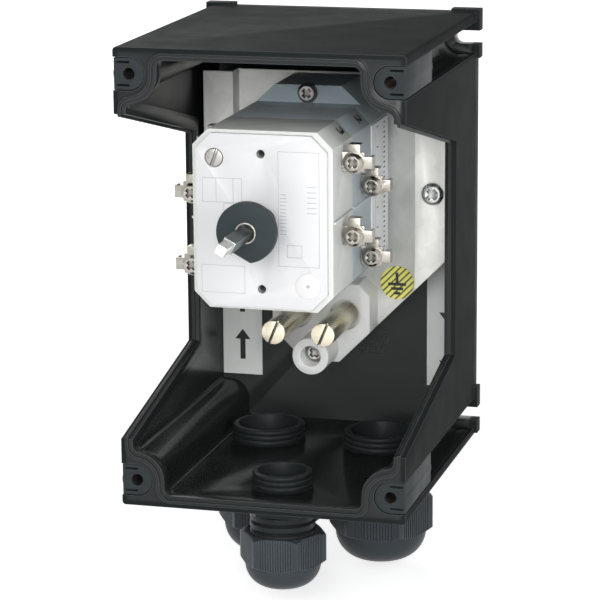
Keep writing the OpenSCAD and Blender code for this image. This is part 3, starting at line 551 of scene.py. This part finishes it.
class Paintbox:
    """Keeps one material for each finish, made when it is first asked for."""

    # edge_light gives a plastic's painted highlight along outer edges; groove and recess give how
    # far painted shade reaches into grooves and recesses.
    BLACK = Plastic(
        "black_polyamide", (0.0205, 0.0235, 0.0235), edge_light=5.0, specular=0.012,
        room=(57.4 * MM, 92.4 * MM),
    )
    NUT = Plastic(
        "gland_body_polyamide", (0.02, 0.0235, 0.025), 0.34, edge_light=3.0, specular=0.15
    )
    SLEEVE = Plastic("sleeve_polyamide", (0.042, 0.05, 0.053), edge_light=2.4, specular=0.03)
    GLAND = Plastic(
        "gland_polyamide", (0.048, 0.058, 0.065), 0.4, edge_light=2.6, specular=0.15,
        groove=0.8 * MM,
    )
    RING = Plastic("ring_polyamide", (0.05, 0.055, 0.06), 0.45)
    BASE = Plastic("bluish_grey_thermoset", (0.36, 0.43, 0.46), 0.4, specular=0.3)
    INNER = Plastic("dark_grey_thermoset", (0.44, 0.5, 0.53), 0.4, edge_light=1.8, specular=0.3)
    OUTER = Plastic(
        "pale_grey_thermoset", (0.8, 0.82, 0.79), 0.38, edge_light=1.2, specular=0.3,
        groove=4.0 * MM,
    )
    FACE = Plastic(
        "white_face_plastic", (0.82, 0.82, 0.83), mottle=0.02, edge_light=1.05,
        groove=4.0 * MM,
    )
    PLUG = Plastic("white_plug_plastic", (0.9, 0.89, 0.89), 0.3, 0.02, edge_light=1.02)
    BLOCK = Plastic("white_block_plastic", (0.78, 0.79, 0.78), 0.38, 0.03, edge_light=1.1)
    DISC = Plastic("dark_disc_plastic", (0.04, 0.05, 0.054), 0.48, edge_light=1.8, specular=0.12)
    ROTOR = Plastic("brown_rotor_plastic", (0.2, 0.11, 0.06), 0.45)
    ZINC = ZincSheet("galvanised_sheet", (0.9, 0.9, 0.86))
    NICKEL = PlatedMetal("nickel_plate", (0.4, 0.38, 0.34), 0.28, recess=2.6 * MM)
    STEEL = PlatedMetal("zinc_plate", (0.42, 0.41, 0.39), 0.34, recess=2.4 * MM)
    BRIGHT = PlatedMetal("bright_zinc", (0.6, 0.61, 0.6), 0.3, recess=2.6 * MM)
    POST = PlatedMetal("turned_nickel", (0.74, 0.68, 0.54), 0.26, (1, 0.05, 1))
    SHAFT = PlatedMetal(
        "burnished_shaft", (0.2, 0.225, 0.225), 0.4, (1, 0.08, 1),
        tip=(-183.5 * MM, -182.5 * MM),
    )
    CONTACT = PlatedMetal("contact_steel", (0.36, 0.34, 0.3), 0.34)
    COPPER = PlatedMetal("contact_copper", (0.75, 0.42, 0.26), 0.32)
    STRIP = PrintedFilm("strip_film", (0.92, 0.94, 0.92))
    WHITE_FILM = PrintedFilm("white_film", (0.9, 0.9, 0.91))
    HATCHED = PrintedFilm("hatched_film", (0.9, 0.86, 0.2), hatch=(0.1, 0.1, 0.03))
    INK = PrintedFilm("black_ink", (0.02, 0.02, 0.02), roughness=0.5)
    # Pale grey: ink for the label's rules, and painted shade for the front plate's raised fields
    # and the plug's dimple.
    PALE_INK_AND_SHADE = PrintedFilm("pale_ink_and_painted_shade", (0.52, 0.52, 0.54), roughness=0.5)
    SEAL = Rubber("black_rubber", (0.012, 0.012, 0.013))

    def __init__(self) -> None:
        """Starts with no material made."""
        self.made: dict[str, Material] = {}

    def of(self, finish: Finish) -> Material:
        """Finds the material of a finish.

        Args:
            finish: The finish.

        Returns:
            Its material.
        """
        if finish.name not in self.made:
            self.made[finish.name] = finish.make()
        return self.made[finish.name]


def put_in_scene(name: str, data: bpy.types.ID) -> Thing:
    """Makes an object at the origin.

    Args:
        name: The object's name.
        data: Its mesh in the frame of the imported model, or its type, lamp or lens.

    Returns:
        The new object.
    """
    thing = bpy.data.objects.new(name, data)
    bpy.context.scene.collection.objects.link(thing)
    return thing


def applied(thing: Thing) -> None:
    """Turns an object's modifiers into its own plain mesh.

    Args:
        thing: The object.
    """
    graph = bpy.context.evaluated_depsgraph_get()
    solid = bpy.data.meshes.new_from_object(thing.evaluated_get(graph))
    thing.modifiers.clear()
    thing.data = solid


def smooth(mesh: bpy.types.Mesh) -> None:
    """Smooths a mesh and keeps its sharp edges."""
    mesh.shade_smooth()
    mesh.set_sharp_from_angle(angle=math.radians(SMOOTH_BELOW))


@dataclass
class Dresser:
    """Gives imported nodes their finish, and puts new pieces on their bodies.

    Attributes:
        merge: Points nearer than this become one.
        flat: Faces that turn by fewer degrees than this become one.
        sharp: Edges that turn by more degrees than this are rounded.
    """

    nodes: dict[str, Thing]
    paint: Paintbox = field(default_factory=Paintbox)
    merge: float = 0.002 * MM
    flat: float = 0.2
    sharp: float = 32.0
    rounding_steps: int = 2

    def coat(self, node: str, finish: Finish) -> None:
        """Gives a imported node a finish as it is.

        Args:
            node: The node's name.
            finish: Its finish.
        """
        thing = self.nodes[node]
        thing.data.materials.clear()
        thing.data.materials.append(self.paint.of(finish))
        LOG.info("%s: %s", node, finish.name)

    def soften(
        self, node: str, finish: Finish, slot: str, edge: float, body: Body = Body.HOUSING
    ) -> None:
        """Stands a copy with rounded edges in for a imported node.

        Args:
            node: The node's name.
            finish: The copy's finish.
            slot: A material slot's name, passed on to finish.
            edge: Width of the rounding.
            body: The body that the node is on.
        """
        thing = put_in_scene(f"{node}_shape", self.nodes[node].data.copy())
        shape = bmesh.new()
        shape.from_mesh(thing.data)
        bmesh.ops.remove_doubles(shape, verts=shape.verts, dist=self.merge)
        bmesh.ops.dissolve_limit(
            shape, angle_limit=math.radians(self.flat), use_dissolve_boundaries=False,
            verts=shape.verts, edges=shape.edges,
        )
        shape.to_mesh(thing.data)
        shape.free()
        rounding = thing.modifiers.new("rounding", "BEVEL")
        rounding.width = edge
        rounding.segments = self.rounding_steps
        rounding.limit_method = "ANGLE"
        rounding.angle_limit = math.radians(self.sharp)
        rounding.use_clamp_overlap = True
        applied(thing)
        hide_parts(node)
        self.finish(thing, finish, slot, body)

    def finish(self, thing: Thing, finish: Finish, slot: str, body: Body = Body.HOUSING) -> None:
        """Paints a finished piece and puts it on its body.

        Args:
            thing: The piece, with its place in its mesh.
            finish: Its finish.
            slot: A material slot's name; not used.
            body: The body that it rides on.
        """
        thing.data.materials.clear()
        thing.data.materials.append(self.paint.of(finish))
        smooth(thing.data)
        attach(thing, body.value)
        LOG.info("%s: %s on %s", thing.name, finish.name, body.value)


class Sketch:
    """Collects simple solids and outlines, and turns them into one mesh."""

    def __init__(self) -> None:
        """Starts with an empty mesh."""
        self.shape = bmesh.new()

    def block(self, low: Point, high: Point) -> None:
        """Adds a block between two corners.

        Args:
            low: The lowest corner.
            high: The highest corner.
        """
        size = Vector(high) - Vector(low)
        centre = (Vector(high) + Vector(low)) / 2
        place = Matrix.Translation(centre) @ Matrix.Diagonal((*size, 1.0))
        bmesh.ops.create_cube(self.shape, size=1.0, matrix=place)

    def slab(self, outline: list[Span], y: float, depth: float) -> None:
        """Adds a flat slab with an outline in x and z, which stands forward of y.

        Args:
            outline: Its corners, in order.
            y: The depth of its back.
            depth: Its thickness towards the front.
        """
        front = [self.shape.verts.new((x, y - depth, z)) for x, z in outline]
        back = [self.shape.verts.new((x, y, z)) for x, z in outline]
        self.shape.faces.new(front)
        self.shape.faces.new(list(reversed(back)))
        for i in range(len(outline)):
            j = (i + 1) % len(outline)
            self.shape.faces.new((front[j], front[i], back[i], back[j]))

    def frame(self, middle: Point, size: Span, line: float, depth: float) -> None:
        """Adds a rectangular frame of flat bars.

        Args:
            middle: Its middle, on the face that it stands on.
            size: Its outer width and height.
            line: Width of the bars.
            depth: How far it stands proud.
        """
        x, y, z = middle
        width, height = size
        right, top = x + width / 2, z + height / 2
        left, low = x - width / 2, z - height / 2
        for a, b, c, d in (
            (left, low, right, low + line), (left, top - line, right, top),
            (left, low, left + line, top), (right - line, low, right, top),
        ):
            self.block((a, y - depth, b), (c, y + depth, d))

    def done(self, name: str) -> Thing:
        """Closes the sketch.

        Args:
            name: The new object's name.

        Returns:
            The object, at the origin.
        """
        bmesh.ops.recalc_face_normals(self.shape, faces=self.shape.faces)
        mesh = bpy.data.meshes.new(name)
        self.shape.to_mesh(mesh)
        self.shape.free()
        return put_in_scene(name, mesh)


def wall_grid(
    name: str, origin: Point, cells: tuple[int, int], pitch: float, ridge: float, proud: float
) -> Thing:
    """Makes a moulded grid of thin ridges on a wall with Geometry Nodes.

    Args:
        name: The new object's name.
        origin: The grid's lower left corner on the wall.
        cells: Number of cells across and upwards.
        pitch: Width of a cell.
        ridge: Width of a ridge.
        proud: Height of a ridge over the wall.

    Returns:
        The grid, as a plain mesh.
    """
    across, up = cells
    tree = bpy.data.node_groups.new(f"{name}_tree", "GeometryNodeTree")
    sides = tree.interface
    sides.new_socket("Geometry", in_out="INPUT", socket_type="NodeSocketGeometry")
    sides.new_socket("Geometry", in_out="OUTPUT", socket_type="NodeSocketGeometry")
    inputs = {
        "Uprights": ("NodeSocketInt", across + 1), "Rungs": ("NodeSocketInt", up + 1),
        "Pitch": ("NodeSocketFloat", pitch), "Ridge": ("NodeSocketFloat", ridge),
        "Proud": ("NodeSocketFloat", 2 * proud),
        "Width": ("NodeSocketFloat", across * pitch),
        "Height": ("NodeSocketFloat", up * pitch),
    }
    keys = {
        label: sides.new_socket(label, in_out="INPUT", socket_type=kind).identifier
        for label, (kind, _) in inputs.items()
    }
    add, link = tree.nodes.new, tree.links.new
    source, sink = add("NodeGroupInput"), add("NodeGroupOutput")
    gather = add("GeometryNodeJoinGeometry")
    half = {}
    for label in ("Width", "Height"):
        half[label] = add("ShaderNodeMath")
        half[label].operation = "DIVIDE"
        half[label].inputs[1].default_value = 2.0
        link(source.outputs[label], half[label].inputs[0])
    ways = (("Uprights", "X", "Z", "Height"), ("Rungs", "Z", "X", "Width"))
    for count, lie, run, reach in ways:
        step, size, shift = (add("ShaderNodeCombineXYZ") for _ in range(3))
        link(source.outputs["Pitch"], step.inputs[lie])
        link(source.outputs["Proud"], size.inputs["Y"])
        link(source.outputs["Ridge"], size.inputs[lie])
        link(source.outputs[reach], size.inputs[run])
        link(half[reach].outputs[0], shift.inputs[run])
        line, bars = add("GeometryNodeMeshLine"), add("GeometryNodeInstanceOnPoints")
        cube, move = add("GeometryNodeMeshCube"), add("GeometryNodeTransform")
        link(source.outputs[count], line.inputs["Count"])
        link(step.outputs[0], line.inputs["Offset"])
        link(size.outputs[0], cube.inputs["Size"])
        link(line.outputs[0], bars.inputs["Points"])
        link(cube.outputs["Mesh"], bars.inputs["Instance"])
        link(bars.outputs[0], move.inputs["Geometry"])
        link(shift.outputs[0], move.inputs["Translation"])
        link(move.outputs[0], gather.inputs[0])
    real, paint = add("GeometryNodeRealizeInstances"), add("GeometryNodeSetMaterial")
    link(gather.outputs[0], real.inputs[0])
    link(real.outputs[0], paint.inputs["Geometry"])
    link(paint.outputs[0], sink.inputs[0])
    thing = put_in_scene(name, bpy.data.meshes.new(name))
    modifier = thing.modifiers.new("grid", "NODES")
    modifier.node_group = tree
    for label, (_, value) in inputs.items():
        modifier[keys[label]] = value
    applied(thing)
    thing.data.transform(Matrix.Translation(origin))
    return thing


def number_on(name: str, digit: str, size: float, depth: float, place: Matrix) -> Thing:
    """Makes a plain number as a thin solid.

    Args:
        name: The new object's name.
        digit: The number.
        size: The height of its type.
        depth: How far it stands proud.
        place: Where its middle lies and how it is turned.

    Returns:
        The number, as a plain mesh.
    """
    type_ = bpy.data.curves.new(name, "FONT")
    type_.body = digit
    type_.size = size
    type_.extrude = depth
    type_.offset = TYPE_WEIGHT
    type_.align_x = "CENTER"
    type_.align_y = "CENTER"
    carrier = put_in_scene(f"{name}_type", type_)
    graph = bpy.context.evaluated_depsgraph_get()
    mesh = bpy.data.meshes.new_from_object(carrier.evaluated_get(graph))
    bpy.data.objects.remove(carrier)
    mesh.transform(place)
    return put_in_scene(name, mesh)


@dataclass
class CaseDress:
    """The moulded case with its corner sleeves, bushes and moulded back wall."""

    dresser: Dresser
    case_edge: float = 0.45 * MM
    sleeve_edge: float = 0.25 * MM
    grid_cells: tuple[int, int] = (9, 8)
    grid_pitch: float = 1.5 * MM
    grid_ridge: float = 0.35 * MM
    grid_proud: float = 0.25 * MM
    grid_low: Span = (7.0 * MM, -60.0 * MM)
    back_wall: float = 3.5 * MM

    def build(self) -> None:
        """Dresses the case."""
        dress, paint = self.dresser, Paintbox
        dress.soften("case", paint.BLACK, "case", self.case_edge)
        dress.soften("screw_sleeves", paint.SLEEVE, "sleeves", self.sleeve_edge)
        dress.coat("sleeve_bushes", paint.STEEL)
        x, z = self.grid_low
        grid = wall_grid(
            "back_wall_grid", (x, -self.back_wall, z), self.grid_cells,
            self.grid_pitch, self.grid_ridge, self.grid_proud,
        )
        dress.finish(grid, paint.BLACK, "case")


@dataclass
class PlateDress:
    """The bent mounting plate and its screws."""

    dresser: Dresser
    plate_edge: float = 0.3 * MM
    head_edge: float = 0.35 * MM

    def build(self) -> None:
        """Dresses the plate."""
        dress, paint = self.dresser, Paintbox
        dress.soften("mounting_plate", paint.ZINC, "plate", self.plate_edge)
        dress.soften("plate_screws", paint.BRIGHT, "plate_screws", self.head_edge)


@dataclass
class StackDress:
    """The switch stack: base, decks, front plate, contacts, terminals and their screws.

    Attributes:
        label_columns: Where on the label's width its two columns of marks start.
        label_rules: Where on its width its two long rules lie.
        fields: Raised fields on the front plate, their lines drawn in pale grey as painted shade,
            as middle across, middle up, width and height in millimetres from the plate's middle.
        uprights: Left sides of the two lines that part the first field.
        scales: Its two scales, as left end, length, top line, pitch and number of lines.
        numbers: The numbered decks, with the place of the number along their depth.
    """

    dresser: Dresser
    deck_edge: float = 0.4 * MM
    plate_edge: float = 0.35 * MM
    head_edge: float = 0.35 * MM
    small_edge: float = 0.25 * MM
    clamp_edge: float = 0.2 * MM
    strip_edge: float = 0.15 * MM
    ink: float = 0.03 * MM
    label_lines: int = 26
    label_columns: Span = (0.3, 0.72)
    label_rules: Span = (0.2, 0.62)
    label_margin: float = 4.0 * MM
    fields: tuple[tuple[float, float, float, float], ...] = (
        (-16.1, 12.3, 16.6, 10.0), (-13.4, 3.5, 4.2, 7.2), (-16.0, -24.0, 18.2, 11.4),
        (15.6, 5.6, 17.0, 46.6), (13.8, -11.4, 6.2, 5.2),
    )
    field_line: float = 0.22
    uprights: Span = (-18.7, -11.6)
    scale_line: float = 0.3
    scales: tuple[tuple[float, float, float, float, int], ...] = (
        (7.9, 2.6, 11.3, 1.45, 12), (19.0, 4.0, 14.7, 2.1, 6),
    )
    dimple_radius: float = 0.7 * MM
    dimple_sides: int = 16
    numbers: tuple[tuple[str, str, float], ...] = (
        ("outer_deck", "3", 0.8), ("inner_deck", "2", 0.75),
    )
    number_size: float = 8.6 * MM
    number_depth: float = 0.05 * MM
    deck_half: float = 29.0 * MM
    deck_chamfer: float = 6.5 * MM

    def build(self) -> None:
        """Dresses the stack."""
        dress, paint = self.dresser, Paintbox
        dress.soften("switch_base", paint.BASE, "base", self.deck_edge)
        dress.soften("inner_deck", paint.INNER, "inner_deck", self.deck_edge)
        dress.soften("outer_deck", paint.OUTER, "outer_deck", self.deck_edge)
        dress.soften("front_plate", paint.FACE, "front_plate", self.plate_edge)
        dress.soften("through_screws", paint.STEEL, "through_screws", self.small_edge)
        dress.soften("screw_plug", paint.PLUG, "plug", self.small_edge)
        for side in ("inner", "outer"):
            screws = f"{side}_terminal_screws"
            dress.soften(f"{side}_contact_strips", paint.CONTACT, "strips", self.strip_edge)
            dress.soften(f"{side}_clamp_plates", paint.NICKEL, "clamps", self.clamp_edge)
            dress.soften(screws, paint.NICKEL, "terminal_screws", self.head_edge)
        dress.coat("upper_mount_screw", paint.STEEL)
        dress.soften("lower_mount_screw", paint.STEEL, "mount_screws", self.head_edge)
        dress.coat("side_label", paint.WHITE_FILM)
        self.mark_label()
        self.mark_face()
        self.mark_plug()
        self.number_decks()

    def mark_label(self) -> None:
        """Prints short plain marks and two long rules on the white side label."""
        low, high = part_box("side_label")
        tall, wide = high.z - low.z, high.y - low.y
        marks, rules = Sketch(), Sketch()

        def bar(sketch: Sketch, y: float, z: float, length: float, height: float) -> None:
            """Adds a flat bar on the label's face."""
            far = (high.x + self.ink, y + length, z + height)
            sketch.block((high.x - self.ink, y, z), far)

        short, long = (low.y + share * wide for share in self.label_columns)
        for row in range(self.label_lines):
            z = low.z + (row + 1) * tall / (self.label_lines + 1)
            bar(marks, long, z, (2.6 if row % 3 else 1.6) * MM, 0.7 * MM)
            if row % 4 == 1:
                bar(marks, short, z, 0.08 * wide, 0.5 * MM)
        for share in self.label_rules:
            foot = low.z + self.label_margin
            bar(rules, low.y + share * wide, foot, 0.3 * MM, tall - 2 * self.label_margin)
        finish = self.dresser.finish
        finish(marks.done("side_label_marks"), Paintbox.INK, "side_label")
        finish(rules.done("side_label_rules"), Paintbox.PALE_INK_AND_SHADE, "side_label")

    def mark_face(self) -> None:
        """Draws the faint blank fields and scales on the front plate as pale grey bars; on the
        raised fields the grey is painted shade.
        """
        low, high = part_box("front_plate")
        middle = (low.z + high.z) / 2
        sketch = Sketch()

        def bar(left: float, foot: float, width: float, height: float) -> None:
            """Adds a flat bar, in millimetres from the plate's middle."""
            z = middle + foot * MM
            sketch.block(
                (left * MM, low.y - self.ink, z),
                ((left + width) * MM, low.y + self.ink, z + height * MM),
            )

        # The pale grey lines of the raised fields are painted shade standing in for their relief.
        for x, z, width, height in self.fields:
            place, size = (x * MM, low.y, middle + z * MM), (width * MM, height * MM)
            sketch.frame(place, size, self.field_line * MM, self.ink)
        _, z, _, height = self.fields[0]
        for left in self.uprights:
            bar(left, z - height / 2, self.field_line, height)
        for left, length, top, pitch, count in self.scales:
            for row in range(count):
                bar(left, top - pitch * row, length, self.scale_line)
        self.dresser.finish(sketch.done("front_plate_fields"), Paintbox.PALE_INK_AND_SHADE, "front_plate")

    def mark_plug(self) -> None:
        """Sets a small pale grey disc in the middle of the plug: painted shade of its dimple."""
        low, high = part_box("screw_plug")
        x, z, radius = (low.x + high.x) / 2, (low.z + high.z) / 2, self.dimple_radius
        turns = [math.tau * side / self.dimple_sides for side in range(self.dimple_sides)]
        ring = [(x + radius * math.cos(turn), z + radius * math.sin(turn)) for turn in turns]
        sketch = Sketch()
        sketch.slab(ring, low.y, self.ink)
        self.dresser.finish(sketch.done("plug_dimple"), Paintbox.PALE_INK_AND_SHADE, "plug")

    def number_decks(self) -> None:
        """Prints the plain deck numbers on the upper right chamfers."""
        tilt = math.sqrt(0.5)
        turn = Matrix(((tilt, 0.0, tilt), (0.0, 1.0, 0.0), (-tilt, 0.0, tilt))).to_4x4()
        inset = self.deck_chamfer / 2
        for node, digit, share in self.numbers:
            low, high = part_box(node)
            y = low.y + share * (high.y - low.y)
            place = Matrix.Translation((self.deck_half - inset, y, high.z - inset)) @ turn
            sizes = (self.number_size, self.number_depth)
            number = number_on(f"{node}_number", digit, *sizes, place)
            self.dresser.finish(number, Paintbox.INK, node)


@dataclass
class ShaftDress:
    """The turning spindle: shaft, coupling disc, ring, rotors, cam and moving contacts."""

    dresser: Dresser
    shaft_edge: float = 0.3 * MM
    disc_edge: float = 0.4 * MM
    collar_edge: float = 0.15 * MM

    def build(self) -> None:
        """Dresses the spindle."""
        dress, paint, spindle = self.dresser, Paintbox, Body.SPINDLE
        dress.soften("drive_shaft", paint.SHAFT, "shaft", self.shaft_edge, spindle)
        dress.soften("coupling_disc", paint.DISC, "disc", self.disc_edge, spindle)
        dress.soften("shaft_collar", paint.NICKEL, "collar", self.collar_edge, spindle)
        for side in ("inner", "outer"):
            dress.coat(f"{side}_rotor", paint.ROTOR)
            dress.coat(f"{side}_blades", paint.COPPER)
        dress.coat("stop_cam", paint.DISC)


@dataclass
class EarthDress:
    """The earth terminal block, its posts and its round label."""

    dresser: Dresser
    block_edge: float = 0.5 * MM
    post_edge: float = 0.25 * MM
    ink: float = 0.05 * MM
    sign_line: float = 1.25 * MM
    sign_stem: float = 4.6 * MM
    sign_pitch: float = 2.0 * MM
    sign_halves: tuple[float, ...] = (4.0 * MM, 2.7 * MM, 1.4 * MM)

    def build(self) -> None:
        """Dresses the earth terminals."""
        dress, paint = self.dresser, Paintbox
        dress.soften("earth_block", paint.BLOCK, "earth_block", self.block_edge)
        dress.soften("earth_posts", paint.POST, "earth_posts", self.post_edge)
        dress.coat("earth_label", paint.HATCHED)
        self.sign()

    def sign(self) -> None:
        """Prints the plain earth sign on the round label."""
        low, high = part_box("earth_label")
        x, z = (low.x + high.x) / 2, (low.z + high.z) / 2
        back, front = low.y - self.ink, low.y + self.ink
        half_line = self.sign_line / 2
        sketch = Sketch()
        sketch.block((x - half_line, back, z), (x + half_line, front, z + self.sign_stem))
        for row, half in enumerate(self.sign_halves):
            top = z - row * self.sign_pitch
            sketch.block((x - half, back, top - self.sign_line), (x + half, front, top))
        self.dresser.finish(sketch.done("earth_sign"), Paintbox.INK, "earth_label")


@dataclass
class WallLabels:
    """The two strips on the back wall, with plain arrows."""

    dresser: Dresser
    ink: float = 0.05 * MM
    arrow_inset: float = 9.2 * MM
    arrow_foot: float = 14.0 * MM
    arrow_pitch: float = 22.0 * MM
    arrow_half: float = 7.0 * MM
    stem_half: float = 1.2 * MM
    head_half: float = 3.6 * MM

    def build(self) -> None:
        """Dresses the strips: the arrows point up on the left and down on the right."""
        self.dresser.coat("back_labels", Paintbox.STRIP)
        low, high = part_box("back_labels")
        sketch = Sketch()
        for side in (-1, 1):
            x = side * (high.x - self.arrow_inset)
            for row in (0, 1):
                z = low.z + self.arrow_foot + self.arrow_pitch * row
                sketch.slab(self.arrow(x, z, self.arrow_half * side), low.y, self.ink)
        self.dresser.finish(sketch.done("strip_arrows"), Paintbox.INK, "strip_labels")

    def arrow(self, x: float, z: float, half: float) -> list[Span]:
        """Draws an arrow.

        Args:
            x: Place of its middle across.
            z: Height of its middle.
            half: Half its length, below 0 for an arrow that points up.

        Returns:
            Its corners, in order.
        """
        stem, head, neck = self.stem_half, self.head_half, z - half / 3
        return [
            (x - stem, z + half), (x - stem, neck), (x - head, neck), (x, z - half),
            (x + head, neck), (x + stem, neck), (x + stem, z + half),
        ]


@dataclass
class GlandDress:
    """A cable gland: body, clamp ring and cap."""

    dresser: Dresser
    name: str
    ring: Body
    cap: Body
    body_edge: float = 0.3 * MM
    ring_edge: float = 0.3 * MM
    cap_edge: float = 0.12 * MM

    def build(self) -> None:
        """Dresses the gland."""
        for piece, finish, body, slot, edge in (
            ("gland_body", Paintbox.NUT, Body.HOUSING, "gland_bodies", self.body_edge),
            ("clamp_ring", Paintbox.RING, self.ring, "clamp_rings", self.ring_edge),
            ("gland_cap", Paintbox.GLAND, self.cap, "caps", self.cap_edge),
        ):
            self.dresser.soften(f"{self.name}_{piece}", finish, slot, edge, body)


@dataclass(frozen=True)
class Lamp:
    """A square soft lamp: its name, its place, the length of its sides and its watts."""

    name: str
    place: Point
    size: float
    power: float


@dataclass
class Studio:
    """The plain pale floor, the soft lamps and the camera.

    Attributes:
        azimuth: How far the camera stands to the right of the front, in degrees, as all its angles.
        glow_reach: The distances at which the floor's glow starts to rise and is full.
        near_glow: The glow under the part, which leaves its shadow visible.
        far_glow: The glow far away, which is white.
        sky: The strength of the surroundings as a light.
    """

    eye: Point = (0.305, -1.193, 0.252)
    azimuth: float = 15.3
    elevation: float = 13.2
    roll: float = -0.44
    focal_px: float = 2816.0
    frame_px: float = 600.0
    sensor: float = 36.0
    aim: Point = (0.0, -0.07, 0.0)
    floor: float = -0.146
    floor_half: float = 6.0
    floor_thick: float = 0.02
    white: Colour = (0.9, 0.9, 0.9)
    glow_reach: Span = (0.3, 1.8)
    near_glow: float = 0.68
    far_glow: float = 1.0
    sky: float = 0.14
    sky_colour: Colour = (0.94, 0.97, 1.0)
    lamps: tuple[Lamp, ...] = (
        Lamp("key_lamp", (-0.15, -1.4, 0.6), 0.5, 4.0),
        Lamp("side_lamp", (1.0, -0.95, 0.3), 0.7, 6.0),
        Lamp("back_lamp", (-0.9, 1.1, 0.7), 0.9, 6.0),
        Lamp("front_lamp", (0.24, -1.35, 0.38), 0.45, 6.2),
    )

    def build(self) -> None:
        """Builds the studio."""
        self.lay_floor()
        self.light_world()
        for lamp in self.lamps:
            self.hang(lamp)
        self.aim_camera()

    def lay_floor(self) -> None:
        """Lays the floor, which looks white to the camera and keeps the shadow."""
        half, top = self.floor_half, self.floor
        sketch = Sketch()
        sketch.block((-half, -half, top - self.floor_thick), (half, half, top))
        floor = sketch.done("studio_floor")
        floor.data.materials.append(self.pale("floor_paint"))

    def pale(self, name: str) -> Material:
        """Makes a pale paint that shows white beside the part and keeps its shadow.

        Args:
            name: The material's name.

        Returns:
            The material.
        """
        graph = Graph(name)
        shader, skin = graph.shader.inputs, graph.skin
        paint = graph.mix(graph.noise(3.0, 4.0), self.white, shade(self.white, 1.04))
        graph.feed(shader["Base Color"], paint)
        shader["Roughness"].default_value = 0.8
        away = graph.add("VectorMath", {0: graph.place}, operation="LENGTH").outputs["Value"]
        level = graph.span(away, *self.glow_reach, self.near_glow, self.far_glow)
        glow = graph.add("Emission", {"Strength": level}).outputs[0]
        both = graph.add("AddShader", {0: skin, 1: glow}).outputs[0]
        seen = seen_directly(graph.tree)
        pick = graph.add("MixShader", {0: seen, 1: skin, 2: both}).outputs[0]
        graph.feed(graph.output, pick)
        return graph.material

    def light_world(self) -> None:
        """Lights the surroundings, which the camera and metal see as white."""
        world = bpy.data.worlds.new("studio_world")
        bpy.context.scene.world = world
        world.use_nodes = True
        tree = world.node_tree
        tree.nodes.clear()
        add, link = tree.nodes.new, tree.links.new
        output, pick = add("ShaderNodeOutputWorld"), add("ShaderNodeMixShader")
        link(seen_directly(tree), pick.inputs[0])
        looks = ((self.sky, self.sky_colour), (1.0, (1.0, 1.0, 1.0)))
        for slot, (strength, colour) in enumerate(looks, start=1):
            sky = add("ShaderNodeBackground")
            sky.inputs["Strength"].default_value = strength
            sky.inputs["Color"].default_value = (*colour, 1.0)
            link(sky.outputs[0], pick.inputs[slot])
        link(pick.outputs[0], output.inputs["Surface"])

    def hang(self, lamp: Lamp) -> None:
        """Hangs a lamp that points at the part.

        Args:
            lamp: The lamp.
        """
        light = bpy.data.lights.new(lamp.name, "AREA")
        light.size = lamp.size
        light.energy = lamp.power
        thing = put_in_scene(lamp.name, light)
        ray = Vector(self.aim) - Vector(lamp.place)
        thing.location = lamp.place
        thing.rotation_euler = ray.to_track_quat("-Z", "Y").to_euler()

    def aim_camera(self) -> None:
        """Sets the camera at the photograph's angle."""
        lens = bpy.data.cameras.new("photo_camera")
        lens.sensor_width = self.sensor
        lens.lens = self.focal_px / self.frame_px * self.sensor
        lens.clip_start, lens.clip_end = 0.05, 30.0
        camera = put_in_scene("photo_camera", lens)
        angles = (self.azimuth, self.elevation, self.roll)
        side, rise, tilt = (math.radians(angle) for angle in angles)
        flat = math.cos(rise)
        back = Vector((math.sin(side) * flat, -math.cos(side) * flat, math.sin(rise)))
        right = (-back).cross(Vector((0, 0, 1))).normalized()
        up = right.cross(-back)
        turned_right = math.cos(tilt) * right + math.sin(tilt) * up
        turned_up = math.cos(tilt) * up - math.sin(tilt) * right
        turn = Matrix((turned_right, turned_up, back)).transposed()
        camera.matrix_world = Matrix.Translation(self.eye) @ turn.to_4x4()
        bpy.context.scene.camera = camera


def seen_directly(tree: bpy.types.NodeTree) -> Socket:
    """Tells what is seen from what only gives light.

    Args:
        tree: The tree of the material or the world.

    Returns:
        1 for what the camera, a reflection or a look through glass shows, and else 0.
    """
    rays = tree.nodes.new("ShaderNodeLightPath")
    total = rays.outputs["Is Camera Ray"]
    for kind in ("Is Glossy Ray", "Is Transmission Ray"):
        most = tree.nodes.new("ShaderNodeMath")
        most.operation = "MAXIMUM"
        tree.links.new(total, most.inputs[0])
        tree.links.new(rays.outputs[kind], most.inputs[1])
        total = most.outputs[0]
    return total


def main() -> None:
    """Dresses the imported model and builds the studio."""
    logging.basicConfig(level=logging.INFO, format="%(message)s")
    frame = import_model()
    dresser = Dresser(frame["nodes"])
    CaseDress(dresser).build()
    PlateDress(dresser).build()
    StackDress(dresser).build()
    ShaftDress(dresser).build()
    EarthDress(dresser).build()
    WallLabels(dresser).build()
    GlandDress(dresser, "front", Body.FRONT_RING, Body.FRONT_CAP).build()
    GlandDress(dresser, "left", Body.LEFT_RING, Body.LEFT_CAP).build()
    GlandDress(dresser, "right", Body.RIGHT_RING, Body.RIGHT_CAP).build()
    dresser.coat("gland_gaskets", Paintbox.SEAL)
    dresser.coat("gland_seals", Paintbox.SEAL)
    Studio().build()
    bpy.context.scene.view_settings.view_transform = "Standard"


if __name__ == "__main__":
    main()
